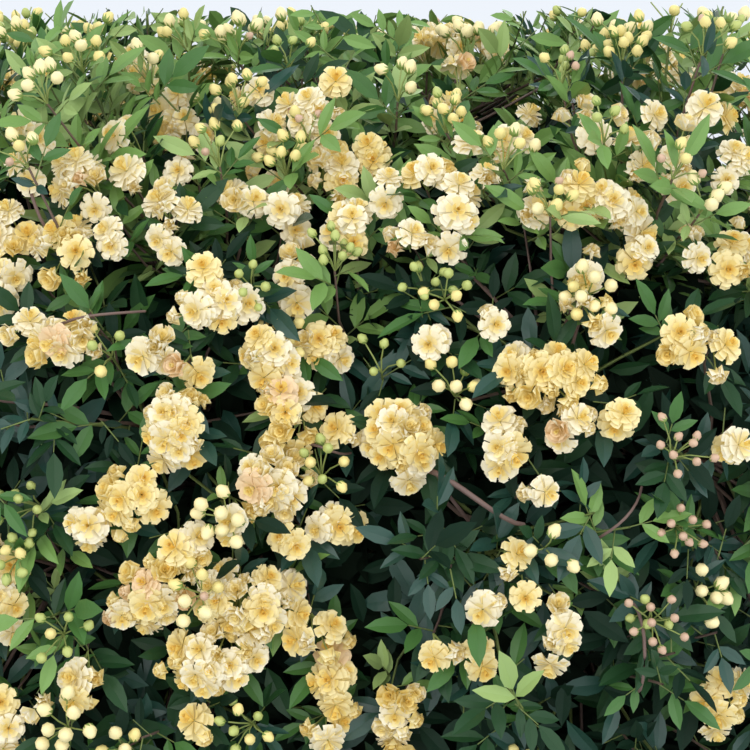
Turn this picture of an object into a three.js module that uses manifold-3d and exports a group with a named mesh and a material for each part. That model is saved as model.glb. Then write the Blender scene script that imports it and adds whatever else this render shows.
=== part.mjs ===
// A garden rose bush in full bloom, with small double yellow flowers in clusters.
// A short woody main stem forks near the ground into many arching canes. Each cane ends in its own
// mass of twigs, leaves and blossom round a dense leafy core, and the masses together make a broad
// mound. Units are millimetres, +Z is up, the front faces -Y, and the origin is the centre of the
// flat cut under the main stem, at ground level.
import * as THREE from "three";
import { mergeVertices } from "three/addons/utils/BufferGeometryUtils.js";
import Module from "manifold-3d";

const wasm = await Module();
wasm.setup();

// Overall sizes of the mound
const BUSH_WIDTH = 1160;
const BUSH_DEPTH = 860;
const BUSH_HEIGHT = 1100;
const SKIRT_HEIGHT = 22;
const MIDDLE_HEIGHT = 0.42 * BUSH_HEIGHT;
const PLAN_POWER = 2.5;
const SIDE_POWER = 3.3;
const SKIRT_POWER = 5;
const CREASE_DEPTH = 0.09;
const CREASE_WIDTH = 0.13 * BUSH_HEIGHT;

// Main stem and canes
const STEM_HEIGHT = 0.07 * BUSH_HEIGHT;
const STEM_RADIUS = 44;
const STEM_SIDES = 12;
const FLARE_RADIUS = 60;
const STUB_LENGTH = 62;
const CANE_FOOT_RADIUS = 9.5;
const CANE_TIP_RADIUS = 5.5;
const CANE_SIDES = 5;
const CANE_STEPS = 5;
const CANE_RISE = 0.42;
const CANE_ARRIVAL = 0.3;
// Room between a cane's ends and the solids that they meet, and round a cane that passes a mass
const CLEAR = 0.3;
const CANE_ROOM = 2;

// Masses: rings of hubs. reach and inner are shares of the mound's half width and half depth, for the
// hub and for the place where the cane enters; height and entry are shares of its height; foot is a
// share of the stem's radius, lean the cane's slope at its foot, and turn a share of a ring's step.
const RINGS = [
  { name: "low", count: 7, reach: 0.63, height: 0.28, inner: 0.22, entry: 0.22 },
  { name: "high", count: 6, reach: 0.52, height: 0.68, inner: 0.17, entry: 0.54 },
  { name: "top", count: 1, reach: 0, height: 0.83, inner: 0, entry: 0.63 },
];
const FEET = {
  low: { foot: 0.72, lean: 0.85, turn: 0 },
  high: { foot: 0.34, lean: 0.3, turn: 0.43 },
  top: { foot: 0, lean: 0, turn: 0 },
};
const HUB_SHIFT = 0.03;
const CORE_LEVEL = 0.89;
const CORE_LUMP = 0.045;
const CORE_ROUNDING = 1.25;
const CORE_DETAIL = 2;
const MASS_GAP = 3;
const CORE_GAP = 6;

// Twigs, leaves and blossom
const SPRAYS = 252;
const TRIES = 5;
const TWIG_SINK = 0.6;
const TWIG_ROOT_RADIUS = 4.5;
const TWIG_TIP_RADIUS = 2.2;
const LEAF_LENGTH = 122;
const LEAF_THICKNESS = 3.2;
const LEAF_SINK = 7;
const BLOSSOM_RADIUS = 43;
const BLOSSOM_SIDES = 10;
const BLOSSOM_SHARE = 0.46;
const SHOOT_SHARE = 0.36;
const UNDERSIDE = -0.55;
// Points closer than these are merged: in one geometry, and when a finished solid is made simpler
const WELD = 1e-3;
const SLIVER = 0.03;
// Halvings by which a place on the outline is found
const HALVINGS = 22;

const GOLDEN_ANGLE = Math.PI * (3 - Math.sqrt(5));
const UP = new THREE.Vector3(0, 0, 1);

// A number from 0 to 1 that depends only on the three counters
function chance(a, b, c) {
  const wave = Math.sin(a * 12.9898 + b * 78.233 + c * 37.719) * 43758.5453;
  return wave - Math.floor(wave);
}

// How far out a point lies: 1 on the mound's outline, less inside it
function moundLevel(p) {
  const above = p.z > MIDDLE_HEIGHT;
  const halfHeight = above ? BUSH_HEIGHT - MIDDLE_HEIGHT : MIDDLE_HEIGHT - SKIRT_HEIGHT;
  const power = above ? SIDE_POWER : SKIRT_POWER;
  const x = Math.abs(p.x) / (BUSH_WIDTH / 2);
  const y = Math.abs(p.y) / (BUSH_DEPTH / 2);
  const z = Math.abs(p.z - MIDDLE_HEIGHT) / halfHeight;
  const plan = Math.pow(Math.pow(x, PLAN_POWER) + Math.pow(y, PLAN_POWER), 1 / PLAN_POWER);
  return Math.pow(Math.pow(plan, power) + Math.pow(z, power), 1 / power);
}

// The outward direction of the mound's outline near a point
function moundNormal(p) {
  const step = 2;
  const slope = (axis) => {
    const ahead = p.clone();
    const behind = p.clone();
    ahead[axis] += step;
    behind[axis] -= step;
    return moundLevel(ahead) - moundLevel(behind);
  };
  return new THREE.Vector3(slope("x"), slope("y"), slope("z")).normalize();
}

// One entry for each mass: its hub, the plane that keeps it off the canes, and where its cane enters
function layOutMasses() {
  const made = [];
  for (const ring of RINGS) {
    for (let k = 0; k < ring.count; k++) {
      const { foot, lean, turn } = FEET[ring.name];
      const angle = -Math.PI / 2 + ((k + turn) / ring.count) * 2 * Math.PI;
      const out = new THREE.Vector3(Math.cos(angle), Math.sin(angle), 0);
      const edge = new THREE.Vector3((out.x * BUSH_WIDTH) / 2, (out.y * BUSH_DEPTH) / 2, 0);
      const across = (share) => edge.clone().multiplyScalar(share);
      const shift = (axis) => 2 * HUB_SHIFT * (chance(made.length, axis, 5) - 0.5);
      const hub = across(ring.reach + shift(1)).setZ((ring.height + shift(2)) * BUSH_HEIGHT);
      const entry = across(ring.inner).setZ(ring.entry * BUSH_HEIGHT);
      const inward = ring.count === 1 ? UP.clone() : new THREE.Vector3(entry.x, entry.y, 0).normalize();
      const name = ring.count === 1 ? ring.name : ring.name + "_" + (k + 1);
      made.push({ name, foot, lean, out, hub, entry, inward });
    }
  }
  return made;
}

const masses = layOutMasses();

// Whether a point lies in a mass's own space, at least margin from its neighbours and the canes
function inSpace(p, mass, margin) {
  if (p.clone().sub(mass.entry).dot(mass.inward) < margin) return false;
  for (const other of masses) {
    if (other === mass) continue;
    const apart = mass.hub.distanceTo(other.hub);
    const side = (p.distanceToSquared(other.hub) - p.distanceToSquared(mass.hub)) / (2 * apart);
    if (side < margin) return false;
  }
  return true;
}

// The mound's outline drawn in a little along the creases between the masses
function outlineLevel(p) {
  const away = masses.map((mass) => mass.hub.distanceTo(p)).sort((a, b) => a - b);
  const edge = Math.min(1, (away[1] - away[0]) / CREASE_WIDTH);
  return 1 - CREASE_DEPTH * (1 - edge) * (1 - edge);
}

// The distance from a mass's hub along a direction that stays in its space and under a share of the
// outline, whose creases a higher rounding deepens
function reachFrom(mass, direction, level, margin, rounding) {
  let near = 0;
  let far = BUSH_WIDTH;
  const within = (distance) => {
    const p = direction.clone().multiplyScalar(distance).add(mass.hub);
    return moundLevel(p) < level * Math.pow(outlineLevel(p), rounding) && inSpace(p, mass, margin);
  };
  for (let step = 0; step < HALVINGS; step++) {
    const middle = (near + far) / 2;
    if (within(middle)) near = middle;
    else far = middle;
  }
  return near;
}

// A closed geometry as a boolean solid
function solidOf(geometry) {
  const bare = geometry.index ? geometry.toNonIndexed() : geometry.clone();
  bare.deleteAttribute("normal");
  bare.deleteAttribute("uv");
  const merged = mergeVertices(bare, WELD);
  const vertProperties = merged.attributes.position.array;
  const triVerts = new Uint32Array(merged.index.array);
  return new wasm.Manifold(new wasm.Mesh({ numProp: 3, vertProperties, triVerts }));
}

// The largest closed body of a solid, so that a sealed hollow is filled and a loose scrap dropped
function largestBody(solid) {
  return solid.decompose().sort((a, b) => b.volume() - a.volume())[0];
}

function geometryOf(solid) {
  const mesh = solid.getMesh();
  const geometry = new THREE.BufferGeometry();
  geometry.setAttribute("position", new THREE.BufferAttribute(new Float32Array(mesh.vertProperties), 3));
  geometry.setIndex(new THREE.BufferAttribute(new Uint32Array(mesh.triVerts), 1));
  const flat = geometry.toNonIndexed();
  flat.computeVertexNormals();
  return flat;
}

// A tapering limb: a closed cylinder bent along a curve
function limb(curve, footRadius, tipRadius, sides, steps) {
  const geometry = new THREE.CylinderGeometry(tipRadius, footRadius, 1, sides, steps);
  const frames = curve.computeFrenetFrames(steps, false);
  const position = geometry.attributes.position;
  for (let i = 0; i < position.count; i++) {
    const step = Math.round((position.getY(i) + 0.5) * steps);
    const p = curve.getPointAt(step / steps);
    p.addScaledVector(frames.normals[step], position.getZ(i));
    p.addScaledVector(frames.binormals[step], position.getX(i));
    position.setXYZ(i, p.x, p.y, p.z);
  }
  return geometry;
}

// A straight three-sided twig
function twig(from, to, rootRadius, tipRadius) {
  return limb(new THREE.LineCurve3(from, to), rootRadius, tipRadius, 3, 1);
}

// The matrix that turns +Y to a direction and +Z towards a face direction, at a place
function pose(place, along, facing) {
  const side = new THREE.Vector3().crossVectors(along, facing).normalize();
  const face = new THREE.Vector3().crossVectors(side, along).normalize();
  return new THREE.Matrix4().makeBasis(side, along, face).setPosition(place);
}

// Half the outline of a leaf of three leaflets, from its middle: the angle from +Y in degrees, then
// reach and lift in shares of the leaf's length
const LEAF_OUTLINE = [
  [0, 0.78, -0.1],
  [17, 0.42, 0.05],
  [32, 0.1, 0],
  [47, 0.34, 0.05],
  [64, 0.6, -0.07],
  [82, 0.33, 0.04],
  [125, 0.045, 0],
];
const LEAF_MIDDLE = 0.22;

// A leaf of three pointed leaflets on a short stalk, from its root at the origin along +Y
function leaf(length) {
  const mirrored = LEAF_OUTLINE.slice(1).reverse().map(([angle, ...rest]) => [-angle, ...rest]);
  const rim = [...LEAF_OUTLINE, [180, LEAF_MIDDLE, 0], ...mirrored];
  const middle = LEAF_MIDDLE * length;
  const points = [0, middle, LEAF_THICKNESS / 2, 0, middle, -LEAF_THICKNESS / 2];
  for (const [angle, reach, lift] of rim) {
    const turn = THREE.MathUtils.degToRad(angle);
    points.push(Math.sin(turn) * reach * length, middle + Math.cos(turn) * reach * length, lift * length);
  }
  const faces = [];
  for (let i = 0; i < rim.length; i++) {
    const here = 2 + i;
    const next = 2 + ((i + 1) % rim.length);
    faces.push(0, next, here);
    faces.push(1, here, next);
  }
  const geometry = new THREE.BufferGeometry();
  geometry.setAttribute("position", new THREE.Float32BufferAttribute(points, 3));
  geometry.setIndex(faces);
  return geometry;
}

// A double blossom that stands for a cluster: a scalloped rim, a raised ring of petals and a dipped heart
function blossom(radius, seed) {
  const profile = [
    new THREE.Vector2(0, -0.34 * radius),
    new THREE.Vector2(radius, 0.02 * radius),
    new THREE.Vector2(0.5 * radius, 0.36 * radius),
    new THREE.Vector2(0, 0.2 * radius),
  ];
  const geometry = new THREE.LatheGeometry(profile, BLOSSOM_SIDES);
  geometry.rotateX(Math.PI / 2);
  const position = geometry.attributes.position;
  for (let i = 0; i < position.count; i++) {
    const x = position.getX(i);
    const y = position.getY(i);
    const spoke = Math.round((Math.atan2(y, x) / (2 * Math.PI)) * BLOSSOM_SIDES + BLOSSOM_SIDES);
    const scallop = 0.84 + 0.16 * (spoke % 2) - 0.06 * chance(spoke % BLOSSOM_SIDES, seed, 3);
    position.setX(i, x * scallop);
    position.setY(i, y * scallop);
  }
  return geometry;
}

// Where along the mound blossom outnumbers leaves
function bloomBank(p) {
  const band = Math.sin(p.x / 74 + 0.6 * Math.sin(p.z / 90)) * Math.cos(p.y / 83 + p.z / 210);
  return BLOSSOM_SHARE + 0.35 * band;
}

// Whether all of a placed piece stays in a mass's space
function fits(mass, geometry) {
  const position = geometry.attributes.position;
  const p = new THREE.Vector3();
  for (let i = 0; i < position.count; i++) {
    p.fromBufferAttribute(position, i);
    if (moundLevel(p) > 1 || !inSpace(p, mass, MASS_GAP)) return false;
  }
  return true;
}

// How far the core of a mass reaches from its hub along a direction
function coreReach(mass, direction) {
  return reachFrom(mass, direction, CORE_LEVEL, CORE_GAP, CORE_ROUNDING);
}

// The crumpled leafy core of a mass, within the mass's space
function massCore(mass) {
  const ball = new THREE.IcosahedronGeometry(1, CORE_DETAIL);
  ball.deleteAttribute("normal");
  ball.deleteAttribute("uv");
  const geometry = mergeVertices(ball, WELD);
  const position = geometry.attributes.position;
  const direction = new THREE.Vector3();
  for (let i = 0; i < position.count; i++) {
    direction.fromBufferAttribute(position, i).normalize();
    const share = 1 - CORE_LUMP * chance(i, Math.round(mass.hub.x), 7);
    direction.multiplyScalar(coreReach(mass, direction) * share).add(mass.hub);
    position.setXYZ(i, direction.x, direction.y, direction.z);
  }
  return solidOf(geometry);
}

// Points spread evenly over the mound's outline by the golden angle, each with the mass it belongs to
function layOutSprays() {
  const centre = new THREE.Vector3(0, 0, MIDDLE_HEIGHT);
  const made = [];
  for (let j = 0; j < SPRAYS; j++) {
    const z = 1 - (2 * j + 1) / SPRAYS;
    const flat = Math.sqrt(1 - z * z);
    const turn = j * GOLDEN_ANGLE;
    const direction = new THREE.Vector3(flat * Math.cos(turn), flat * Math.sin(turn), z);
    let near = 0;
    let far = BUSH_WIDTH;
    for (let step = 0; step < HALVINGS; step++) {
      const p = direction.clone().multiplyScalar((near + far) / 2).add(centre);
      if (moundLevel(p) < outlineLevel(p)) near = (near + far) / 2;
      else far = (near + far) / 2;
    }
    const place = direction.clone().multiplyScalar(near).add(centre);
    const away = (mass) => mass.hub.distanceTo(place);
    const owner = masses.reduce((best, mass) => (away(mass) < away(best) ? mass : best));
    const normal = moundNormal(place);
    const side = new THREE.Vector3().crossVectors(normal, UP).normalize();
    if (normal.z > UNDERSIDE) made.push({ seed: j, place, owner, normal, side });
  }
  return made;
}

// A blossom and the tip of the twig that carries it
function blossomHead(spray, trial) {
  const { seed, place, owner, normal, side } = spray;
  const radius = BLOSSOM_RADIUS * (0.86 + 0.22 * chance(seed, trial, 5));
  const nod = normal.clone().addScaledVector(UP, 0.3 - 0.7 * chance(seed, trial, 4)).normalize();
  const inward = -0.45 * radius - 12 * chance(seed, trial, 2);
  const centre = place.clone().lerp(owner.hub, 0.05 * trial).addScaledVector(normal, inward);
  const tip = centre.clone().addScaledVector(side, 0.3 * radius);
  return { tip, geometry: blossom(radius, seed).applyMatrix4(pose(centre, side, nod)) };
}

// A leaf at the end of a shoot that stands out, and the tip of its twig
function shootHead(spray, trial) {
  const { seed, place, owner, normal, side } = spray;
  const length = LEAF_LENGTH * (0.8 + 0.3 * chance(seed, trial, 8)) * (1 - 0.07 * trial);
  const along = normal.clone().addScaledVector(side, 1.6 * chance(seed, trial, 6) - 0.8);
  along.addScaledVector(UP, 0.5 - 0.9 * chance(seed, trial, 7)).normalize();
  const facing = normal.clone().addScaledVector(UP, 0.9);
  facing.addScaledVector(side, 0.8 * chance(seed, trial, 9) - 0.4).normalize();
  const inward = -length * (0.75 + 0.2 * chance(seed, trial, 2));
  const tip = place.clone().lerp(owner.hub, 0.03 * trial).addScaledVector(along, inward);
  const foot = tip.clone().addScaledVector(along, -LEAF_SINK);
  return { tip, geometry: leaf(length).applyMatrix4(pose(foot, along, facing)) };
}

// A leaf that lies over the core, rooted in it
function coverLeaf(spray, trial) {
  const { seed, place, owner, normal, side } = spray;
  const length = LEAF_LENGTH * (0.85 + 0.3 * chance(seed, trial, 8)) * (1 - 0.07 * trial);
  const turn = 2 * Math.PI * chance(seed, trial, 6);
  const upward = new THREE.Vector3().crossVectors(side, normal);
  const along = side.clone().multiplyScalar(Math.cos(turn)).addScaledVector(upward, Math.sin(turn));
  along.addScaledVector(normal, 0.35 + 0.3 * chance(seed, trial, 7)).normalize();
  const direction = place.clone().sub(owner.hub).normalize();
  const foot = owner.hub.clone().addScaledVector(direction, coreReach(owner, direction) * (1 - CORE_LUMP));
  return { geometry: leaf(length).applyMatrix4(pose(foot, along, normal)) };
}

// A spray: a head on a twig out of the core, turned another way when it would leave the mass's space
function addSpray(parts, spray) {
  const blooms = chance(spray.seed, 1, 1) < bloomBank(spray.place);
  const shoots = chance(spray.seed, 2, 1) < SHOOT_SHARE;
  for (let trial = 0; trial < 2 * TRIES; trial++) {
    const leafHead = shoots ? shootHead : coverLeaf;
    const head = (blooms && trial < TRIES ? blossomHead : leafHead)(spray, trial % TRIES);
    if (!fits(spray.owner, head.geometry)) continue;
    if (head.tip) {
      const root = spray.owner.hub.clone().lerp(head.tip, TWIG_SINK);
      const stalk = twig(root, head.tip, TWIG_ROOT_RADIUS, TWIG_TIP_RADIUS);
      if (!fits(spray.owner, stalk)) continue;
      parts.push(solidOf(stalk));
    }
    parts.push(solidOf(head.geometry));
    return;
  }
}

// A whole mass: its stem from the cane's tip, its core, and the sprays that stand out of it
function foliage(mass, limbs) {
  const stem = mass.hub.clone().sub(mass.entry).normalize();
  const foot = mass.entry.clone().addScaledVector(stem, CLEAR);
  let body = massCore(mass);
  for (const solid of limbs) body = body.subtract(solid);
  const line = new THREE.LineCurve3(foot, mass.hub);
  const stalk = limb(line, CANE_TIP_RADIUS, CANE_TIP_RADIUS, CANE_SIDES, 1);
  const parts = [body, solidOf(stalk)];
  for (const spray of sprays) {
    if (spray.owner === mass) addSpray(parts, spray);
  }
  const joined = parts.reduce((whole, part) => whole.add(part));
  return geometryOf(largestBody(joined).simplify(SLIVER));
}

// The place and direction where a cane leaves the main stem
function caneFoot(mass) {
  const lean = mass.out.clone().multiplyScalar(mass.lean).add(UP).normalize();
  const root = mass.out.clone().multiplyScalar(mass.foot * STEM_RADIUS).setZ(STEM_HEIGHT);
  return { lean, root, place: root.clone().addScaledVector(lean, STUB_LENGTH) };
}

// The arching line of a cane, from its stub on the main stem to its mass
function caneCurve(mass) {
  const foot = caneFoot(mass);
  const stem = mass.hub.clone().sub(mass.entry).normalize();
  const start = foot.place.clone().addScaledVector(foot.lean, CLEAR);
  const span = mass.entry.distanceTo(start);
  const rise = start.clone().addScaledVector(foot.lean, span * CANE_RISE);
  const arrive = mass.entry.clone().addScaledVector(stem, -span * CANE_ARRIVAL);
  return new THREE.CubicBezierCurve3(start, rise, arrive, mass.entry);
}

// The short trunk, flared at the ground, with a stub for each cane
function mainStem() {
  const profile = [
    new THREE.Vector2(0, 0),
    new THREE.Vector2(FLARE_RADIUS, 0),
    new THREE.Vector2(STEM_RADIUS * 1.12, STEM_HEIGHT * 0.22),
    new THREE.Vector2(STEM_RADIUS, STEM_HEIGHT * 0.6),
    new THREE.Vector2(STEM_RADIUS * 1.08, STEM_HEIGHT),
    new THREE.Vector2(STEM_RADIUS * 0.7, STEM_HEIGHT * 1.3),
    new THREE.Vector2(0, STEM_HEIGHT * 1.38),
  ];
  const geometry = new THREE.LatheGeometry(profile, STEM_SIDES);
  geometry.rotateX(Math.PI / 2);
  const position = geometry.attributes.position;
  for (let i = 0; i < position.count; i++) {
    const angle = Math.atan2(position.getY(i), position.getX(i));
    const buttress = 1 + 0.07 * Math.cos(5 * angle) + 0.04 * Math.sin(3 * angle);
    position.setX(i, position.getX(i) * buttress);
    position.setY(i, position.getY(i) * buttress);
  }
  let whole = solidOf(geometry);
  for (const mass of masses) {
    const foot = caneFoot(mass);
    const line = new THREE.LineCurve3(foot.root, foot.place);
    const stub = limb(line, CANE_FOOT_RADIUS * 1.5, CANE_FOOT_RADIUS, CANE_SIDES, 1);
    whole = whole.add(solidOf(stub));
  }
  return geometryOf(largestBody(whole).simplify(SLIVER));
}

const sprays = layOutSprays();
const bark = new THREE.MeshStandardMaterial({ color: 0x6b5442, roughness: 0.9, metalness: 0 });
const youngBark = new THREE.MeshStandardMaterial({ color: 0x6f6b45, roughness: 0.75, metalness: 0 });
const leafAndBlossom = new THREE.MeshStandardMaterial({ color: 0x8f9a56, roughness: 0.6, metalness: 0 });

const bush = new THREE.Group();
function addNode(name, geometry, material) {
  const mesh = new THREE.Mesh(geometry, material);
  mesh.name = name;
  bush.add(mesh);
}

addNode("main_stem", mainStem(), bark);
const clearances = masses.map((mass) =>
  solidOf(
    limb(caneCurve(mass), CANE_FOOT_RADIUS + CANE_ROOM, CANE_TIP_RADIUS + CANE_ROOM, CANE_SIDES, CANE_STEPS),
  ),
);
masses.forEach((mass) => {
  const cane = limb(caneCurve(mass), CANE_FOOT_RADIUS, CANE_TIP_RADIUS, CANE_SIDES, CANE_STEPS);
  addNode("cane_" + mass.name, cane, youngBark);
  addNode("foliage_" + mass.name, foliage(mass, clearances), leafAndBlossom);
});

export default bush;
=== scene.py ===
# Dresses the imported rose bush: bark, twigs, leaves, buds and double yellow flowers, grown from the
# canes outwards. Everything is in metres, in the part's own frame, with the bush's front towards -Y.
import math

import bpy
import numpy as np
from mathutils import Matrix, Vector
from mathutils.kdtree import KDTree


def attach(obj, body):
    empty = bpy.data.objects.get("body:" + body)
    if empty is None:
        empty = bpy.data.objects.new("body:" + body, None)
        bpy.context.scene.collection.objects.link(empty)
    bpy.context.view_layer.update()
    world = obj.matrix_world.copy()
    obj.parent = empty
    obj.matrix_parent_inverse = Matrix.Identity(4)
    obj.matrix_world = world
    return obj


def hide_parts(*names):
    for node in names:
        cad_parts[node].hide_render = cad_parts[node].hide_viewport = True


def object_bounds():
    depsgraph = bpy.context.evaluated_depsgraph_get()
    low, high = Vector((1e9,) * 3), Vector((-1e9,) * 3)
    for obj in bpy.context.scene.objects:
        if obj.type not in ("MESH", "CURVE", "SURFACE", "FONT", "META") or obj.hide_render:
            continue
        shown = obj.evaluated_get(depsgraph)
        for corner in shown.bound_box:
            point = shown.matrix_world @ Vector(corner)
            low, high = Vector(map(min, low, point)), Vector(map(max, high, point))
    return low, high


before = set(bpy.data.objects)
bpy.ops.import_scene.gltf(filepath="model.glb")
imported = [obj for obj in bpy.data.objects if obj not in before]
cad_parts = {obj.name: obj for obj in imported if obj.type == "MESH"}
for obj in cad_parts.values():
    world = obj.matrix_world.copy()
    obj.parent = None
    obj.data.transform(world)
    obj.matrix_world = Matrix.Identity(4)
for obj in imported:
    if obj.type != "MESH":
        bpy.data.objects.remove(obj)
cad_box = [list(corner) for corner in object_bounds()]

# Main stem: the short trunk of an old rose, half hidden under its own canes. It is raised from a
# flared foot, a little buttressed, and its grey bark is split along the grain.
STEM_HEIGHT = 0.077
STEM_RADIUS = 0.044
FLARE_RADIUS = 0.060
STEM_SIDES = 40
# Rings that the trunk is drawn up through: shares of its radius and of its height
RINGS_UP = ((1.12, 0.22), (1.0, 0.6), (1.06, 1.0), (0.7, 1.3), (0.3, 1.38))
BUTTRESSES = 5
BUTTRESS_SHARE = 0.07
LOBES = 3
LOBE_SHARE = 0.04
FURROWS = 19
FURROW_DEPTH = 0.0022
FURROW_SWAY = 2.5
FURROW_WAVES = 55
BARK_ROUGHNESS = 0.85
BARK_STRETCH = 6
BARK_DARK_END = 0.38
BARK_LIGHT_START = 0.66
BARK_RELIEF = 0.7
BARK_RELIEF_DEPTH = 0.002


def linear(r, g, b):
    """An sRGB colour of 0 to 255 as the linear values that a shader takes."""
    shares = [v / 255 for v in (r, g, b)]
    return tuple(((v + 0.055) / 1.055) ** 2.4 if v > 0.04 else v / 12.92 for v in shares) + (1,)


def node_group(name, inputs, outputs):
    group = bpy.data.node_groups.new(name, "ShaderNodeTree")
    for socket in inputs:
        group.interface.new_socket(socket, in_out="INPUT", socket_type="NodeSocketFloat")
    for socket in outputs:
        group.interface.new_socket(socket, in_out="OUTPUT", socket_type="NodeSocketFloat")
    return group, group.nodes.new("NodeGroupInput"), group.nodes.new("NodeGroupOutput")


def grain_group():
    """Bark that runs in streaks along Z: one output serves as mask for colour and height for relief."""
    group, given, out = node_group("bark_grain", ["Across", "Along"], ["Streaks"])
    place = group.nodes.new("ShaderNodeTexCoord")
    scales = group.nodes.new("ShaderNodeCombineXYZ")
    stretch = group.nodes.new("ShaderNodeVectorMath")
    stretch.operation = "MULTIPLY"
    noise = group.nodes.new("ShaderNodeTexNoise")
    noise.inputs["Scale"].default_value = 1
    noise.inputs["Detail"].default_value = 6
    group.links.new(given.outputs["Across"], scales.inputs["X"])
    group.links.new(given.outputs["Across"], scales.inputs["Y"])
    group.links.new(given.outputs["Along"], scales.inputs["Z"])
    group.links.new(place.outputs["Object"], stretch.inputs[0])
    group.links.new(scales.outputs["Vector"], stretch.inputs[1])
    group.links.new(stretch.outputs["Vector"], noise.inputs["Vector"])
    group.links.new(noise.outputs["Fac"], out.inputs["Streaks"])
    return group


def new_material(name, roughness):
    """A material of one roughness, with its node tree and its shader."""
    made = bpy.data.materials.new(name)
    made.use_nodes = True
    shader = made.node_tree.nodes["Principled BSDF"]
    shader.inputs["Roughness"].default_value = roughness
    return made, made.node_tree, shader


def add_relief(tree, shader, height, strength, depth):
    relief = tree.nodes.new("ShaderNodeBump")
    relief.inputs["Strength"].default_value = strength
    relief.inputs["Distance"].default_value = depth
    tree.links.new(height, relief.inputs["Height"])
    tree.links.new(relief.outputs["Normal"], shader.inputs["Normal"])


def bark_material(name, dark, light, across):
    made, tree, shader = new_material(name, BARK_ROUGHNESS)
    grain = tree.nodes.new("ShaderNodeGroup")
    grain.node_tree = bark_grain
    grain.inputs["Across"].default_value = across
    grain.inputs["Along"].default_value = across / BARK_STRETCH
    ramp = tree.nodes.new("ShaderNodeValToRGB")
    ramp.color_ramp.elements[0].position = BARK_DARK_END
    ramp.color_ramp.elements[0].color = linear(*dark)
    ramp.color_ramp.elements[1].position = BARK_LIGHT_START
    ramp.color_ramp.elements[1].color = linear(*light)
    tree.links.new(grain.outputs["Streaks"], ramp.inputs["Fac"])
    tree.links.new(ramp.outputs["Color"], shader.inputs["Base Color"])
    add_relief(tree, shader, grain.outputs["Streaks"], BARK_RELIEF, BARK_RELIEF_DEPTH)
    return made


def select_where(rule):
    """Selects the active object's vertices by their place and goes to edit mode."""
    bpy.ops.object.mode_set(mode="EDIT")
    bpy.ops.mesh.select_mode(type="VERT")
    bpy.ops.mesh.select_all(action="DESELECT")
    bpy.ops.object.mode_set(mode="OBJECT")
    for vertex in bpy.context.object.data.vertices:
        vertex.select = bool(rule(vertex.co))
    bpy.ops.object.mode_set(mode="EDIT")


def raised_stem():
    """A cylinder whose top is extruded up through the rings, then cut finer and furrowed all round."""
    first = RINGS_UP[0][1] * STEM_HEIGHT
    bpy.ops.object.select_all(action="DESELECT")
    bpy.ops.mesh.primitive_cylinder_add(
        vertices=STEM_SIDES, radius=FLARE_RADIUS, depth=first, location=(0, 0, first / 2)
    )
    bpy.ops.object.transform_apply(location=True)
    made = bpy.context.object
    made.name = "bark_main_stem"
    width = FLARE_RADIUS
    height = first
    select_where(lambda place: place.z > first / 2)
    for share, rise in RINGS_UP:
        new_width = share * STEM_RADIUS
        new_height = rise * STEM_HEIGHT
        if new_height > height:
            bpy.ops.mesh.extrude_region_move(TRANSFORM_OT_translate={"value": (0, 0, new_height - height)})
        shrink = new_width / width
        bpy.ops.transform.resize(value=(shrink, shrink, 1), center_override=(0, 0, new_height))
        width = new_width
        height = new_height
    bpy.ops.mesh.select_all(action="SELECT")
    bpy.ops.mesh.subdivide(number_cuts=2, smoothness=0.6)
    bpy.ops.mesh.quads_convert_to_tris()
    bpy.ops.object.mode_set(mode="OBJECT")
    for vertex in made.data.vertices:
        angle = math.atan2(vertex.co.y, vertex.co.x)
        buttress = 1 + BUTTRESS_SHARE * math.cos(BUTTRESSES * angle) + LOBE_SHARE * math.sin(LOBES * angle)
        sway = FURROW_SWAY * math.sin(vertex.co.z * FURROW_WAVES)
        furrow = FURROW_DEPTH * math.sin(FURROWS * angle + sway)
        reach = math.hypot(vertex.co.x, vertex.co.y)
        if reach > STEM_RADIUS / 2:
            scale = (reach * buttress + furrow) / reach
            vertex.co.x *= scale
            vertex.co.y *= scale
        vertex.co.z = max(0, vertex.co.z)
    bpy.ops.object.shade_smooth()
    return made


bark_grain = grain_group()
old_bark = bark_material("old_bark", dark=(62, 50, 42), light=(142, 122, 102), across=160)
main_stem = raised_stem()
main_stem.data.materials.append(old_bark)
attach(main_stem, "root")
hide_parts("main_stem")

# Canes: fourteen young stems arch out of the trunk and rise through the bush, each into a mass of
# growth of its own. They are green-brown, knobby at the old leaf joints, and grow out of stubs.
BUSH_WIDTH = 1.16
BUSH_DEPTH = 0.86
BUSH_HEIGHT = 1.10
HUB_SHIFT = 0.03
# Each ring of masses: how many, its hubs' reach and height, where the canes enter, and how they stand
RINGS = (
    dict(
        name="low", count=7, reach=0.63, height=0.28, inner=0.22, entry=0.22,
        foot=0.72, lean=0.85, turn=0,
    ),
    dict(
        name="high", count=6, reach=0.52, height=0.68, inner=0.17, entry=0.54,
        foot=0.34, lean=0.3, turn=0.43,
    ),
    dict(
        name="top", count=1, reach=0, height=0.83, inner=0, entry=0.63,
        foot=0, lean=0, turn=0,
    ),
)
GOLDEN_ANGLE = math.pi * (3 - math.sqrt(5))
UP = np.array([0.0, 0.0, 1.0])
STUB_LENGTH = 0.062
STUB_SWELL = 1.5
STUB_STEPS = 6
CANE_FOOT_RADIUS = 0.0095
CANE_TIP_RADIUS = 0.0055
CANE_SIDES = 12
CANE_STEPS = 28
# How far a cane runs on as it leaves its stub and as it comes in, as shares of its span
CANE_LEAVING = 0.42
CANE_COMING = 0.3
KNOB_LEAST = 0.93
KNOB_SPREAD = 0.14


def chance(a, b=1, c=1):
    """A number from 0 to 1 that depends only on the three counters."""
    wave = np.sin(np.asarray(a, float) * 12.9898 + b * 78.233 + c * 37.719) * 43758.5453
    return wave - np.floor(wave)


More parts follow.
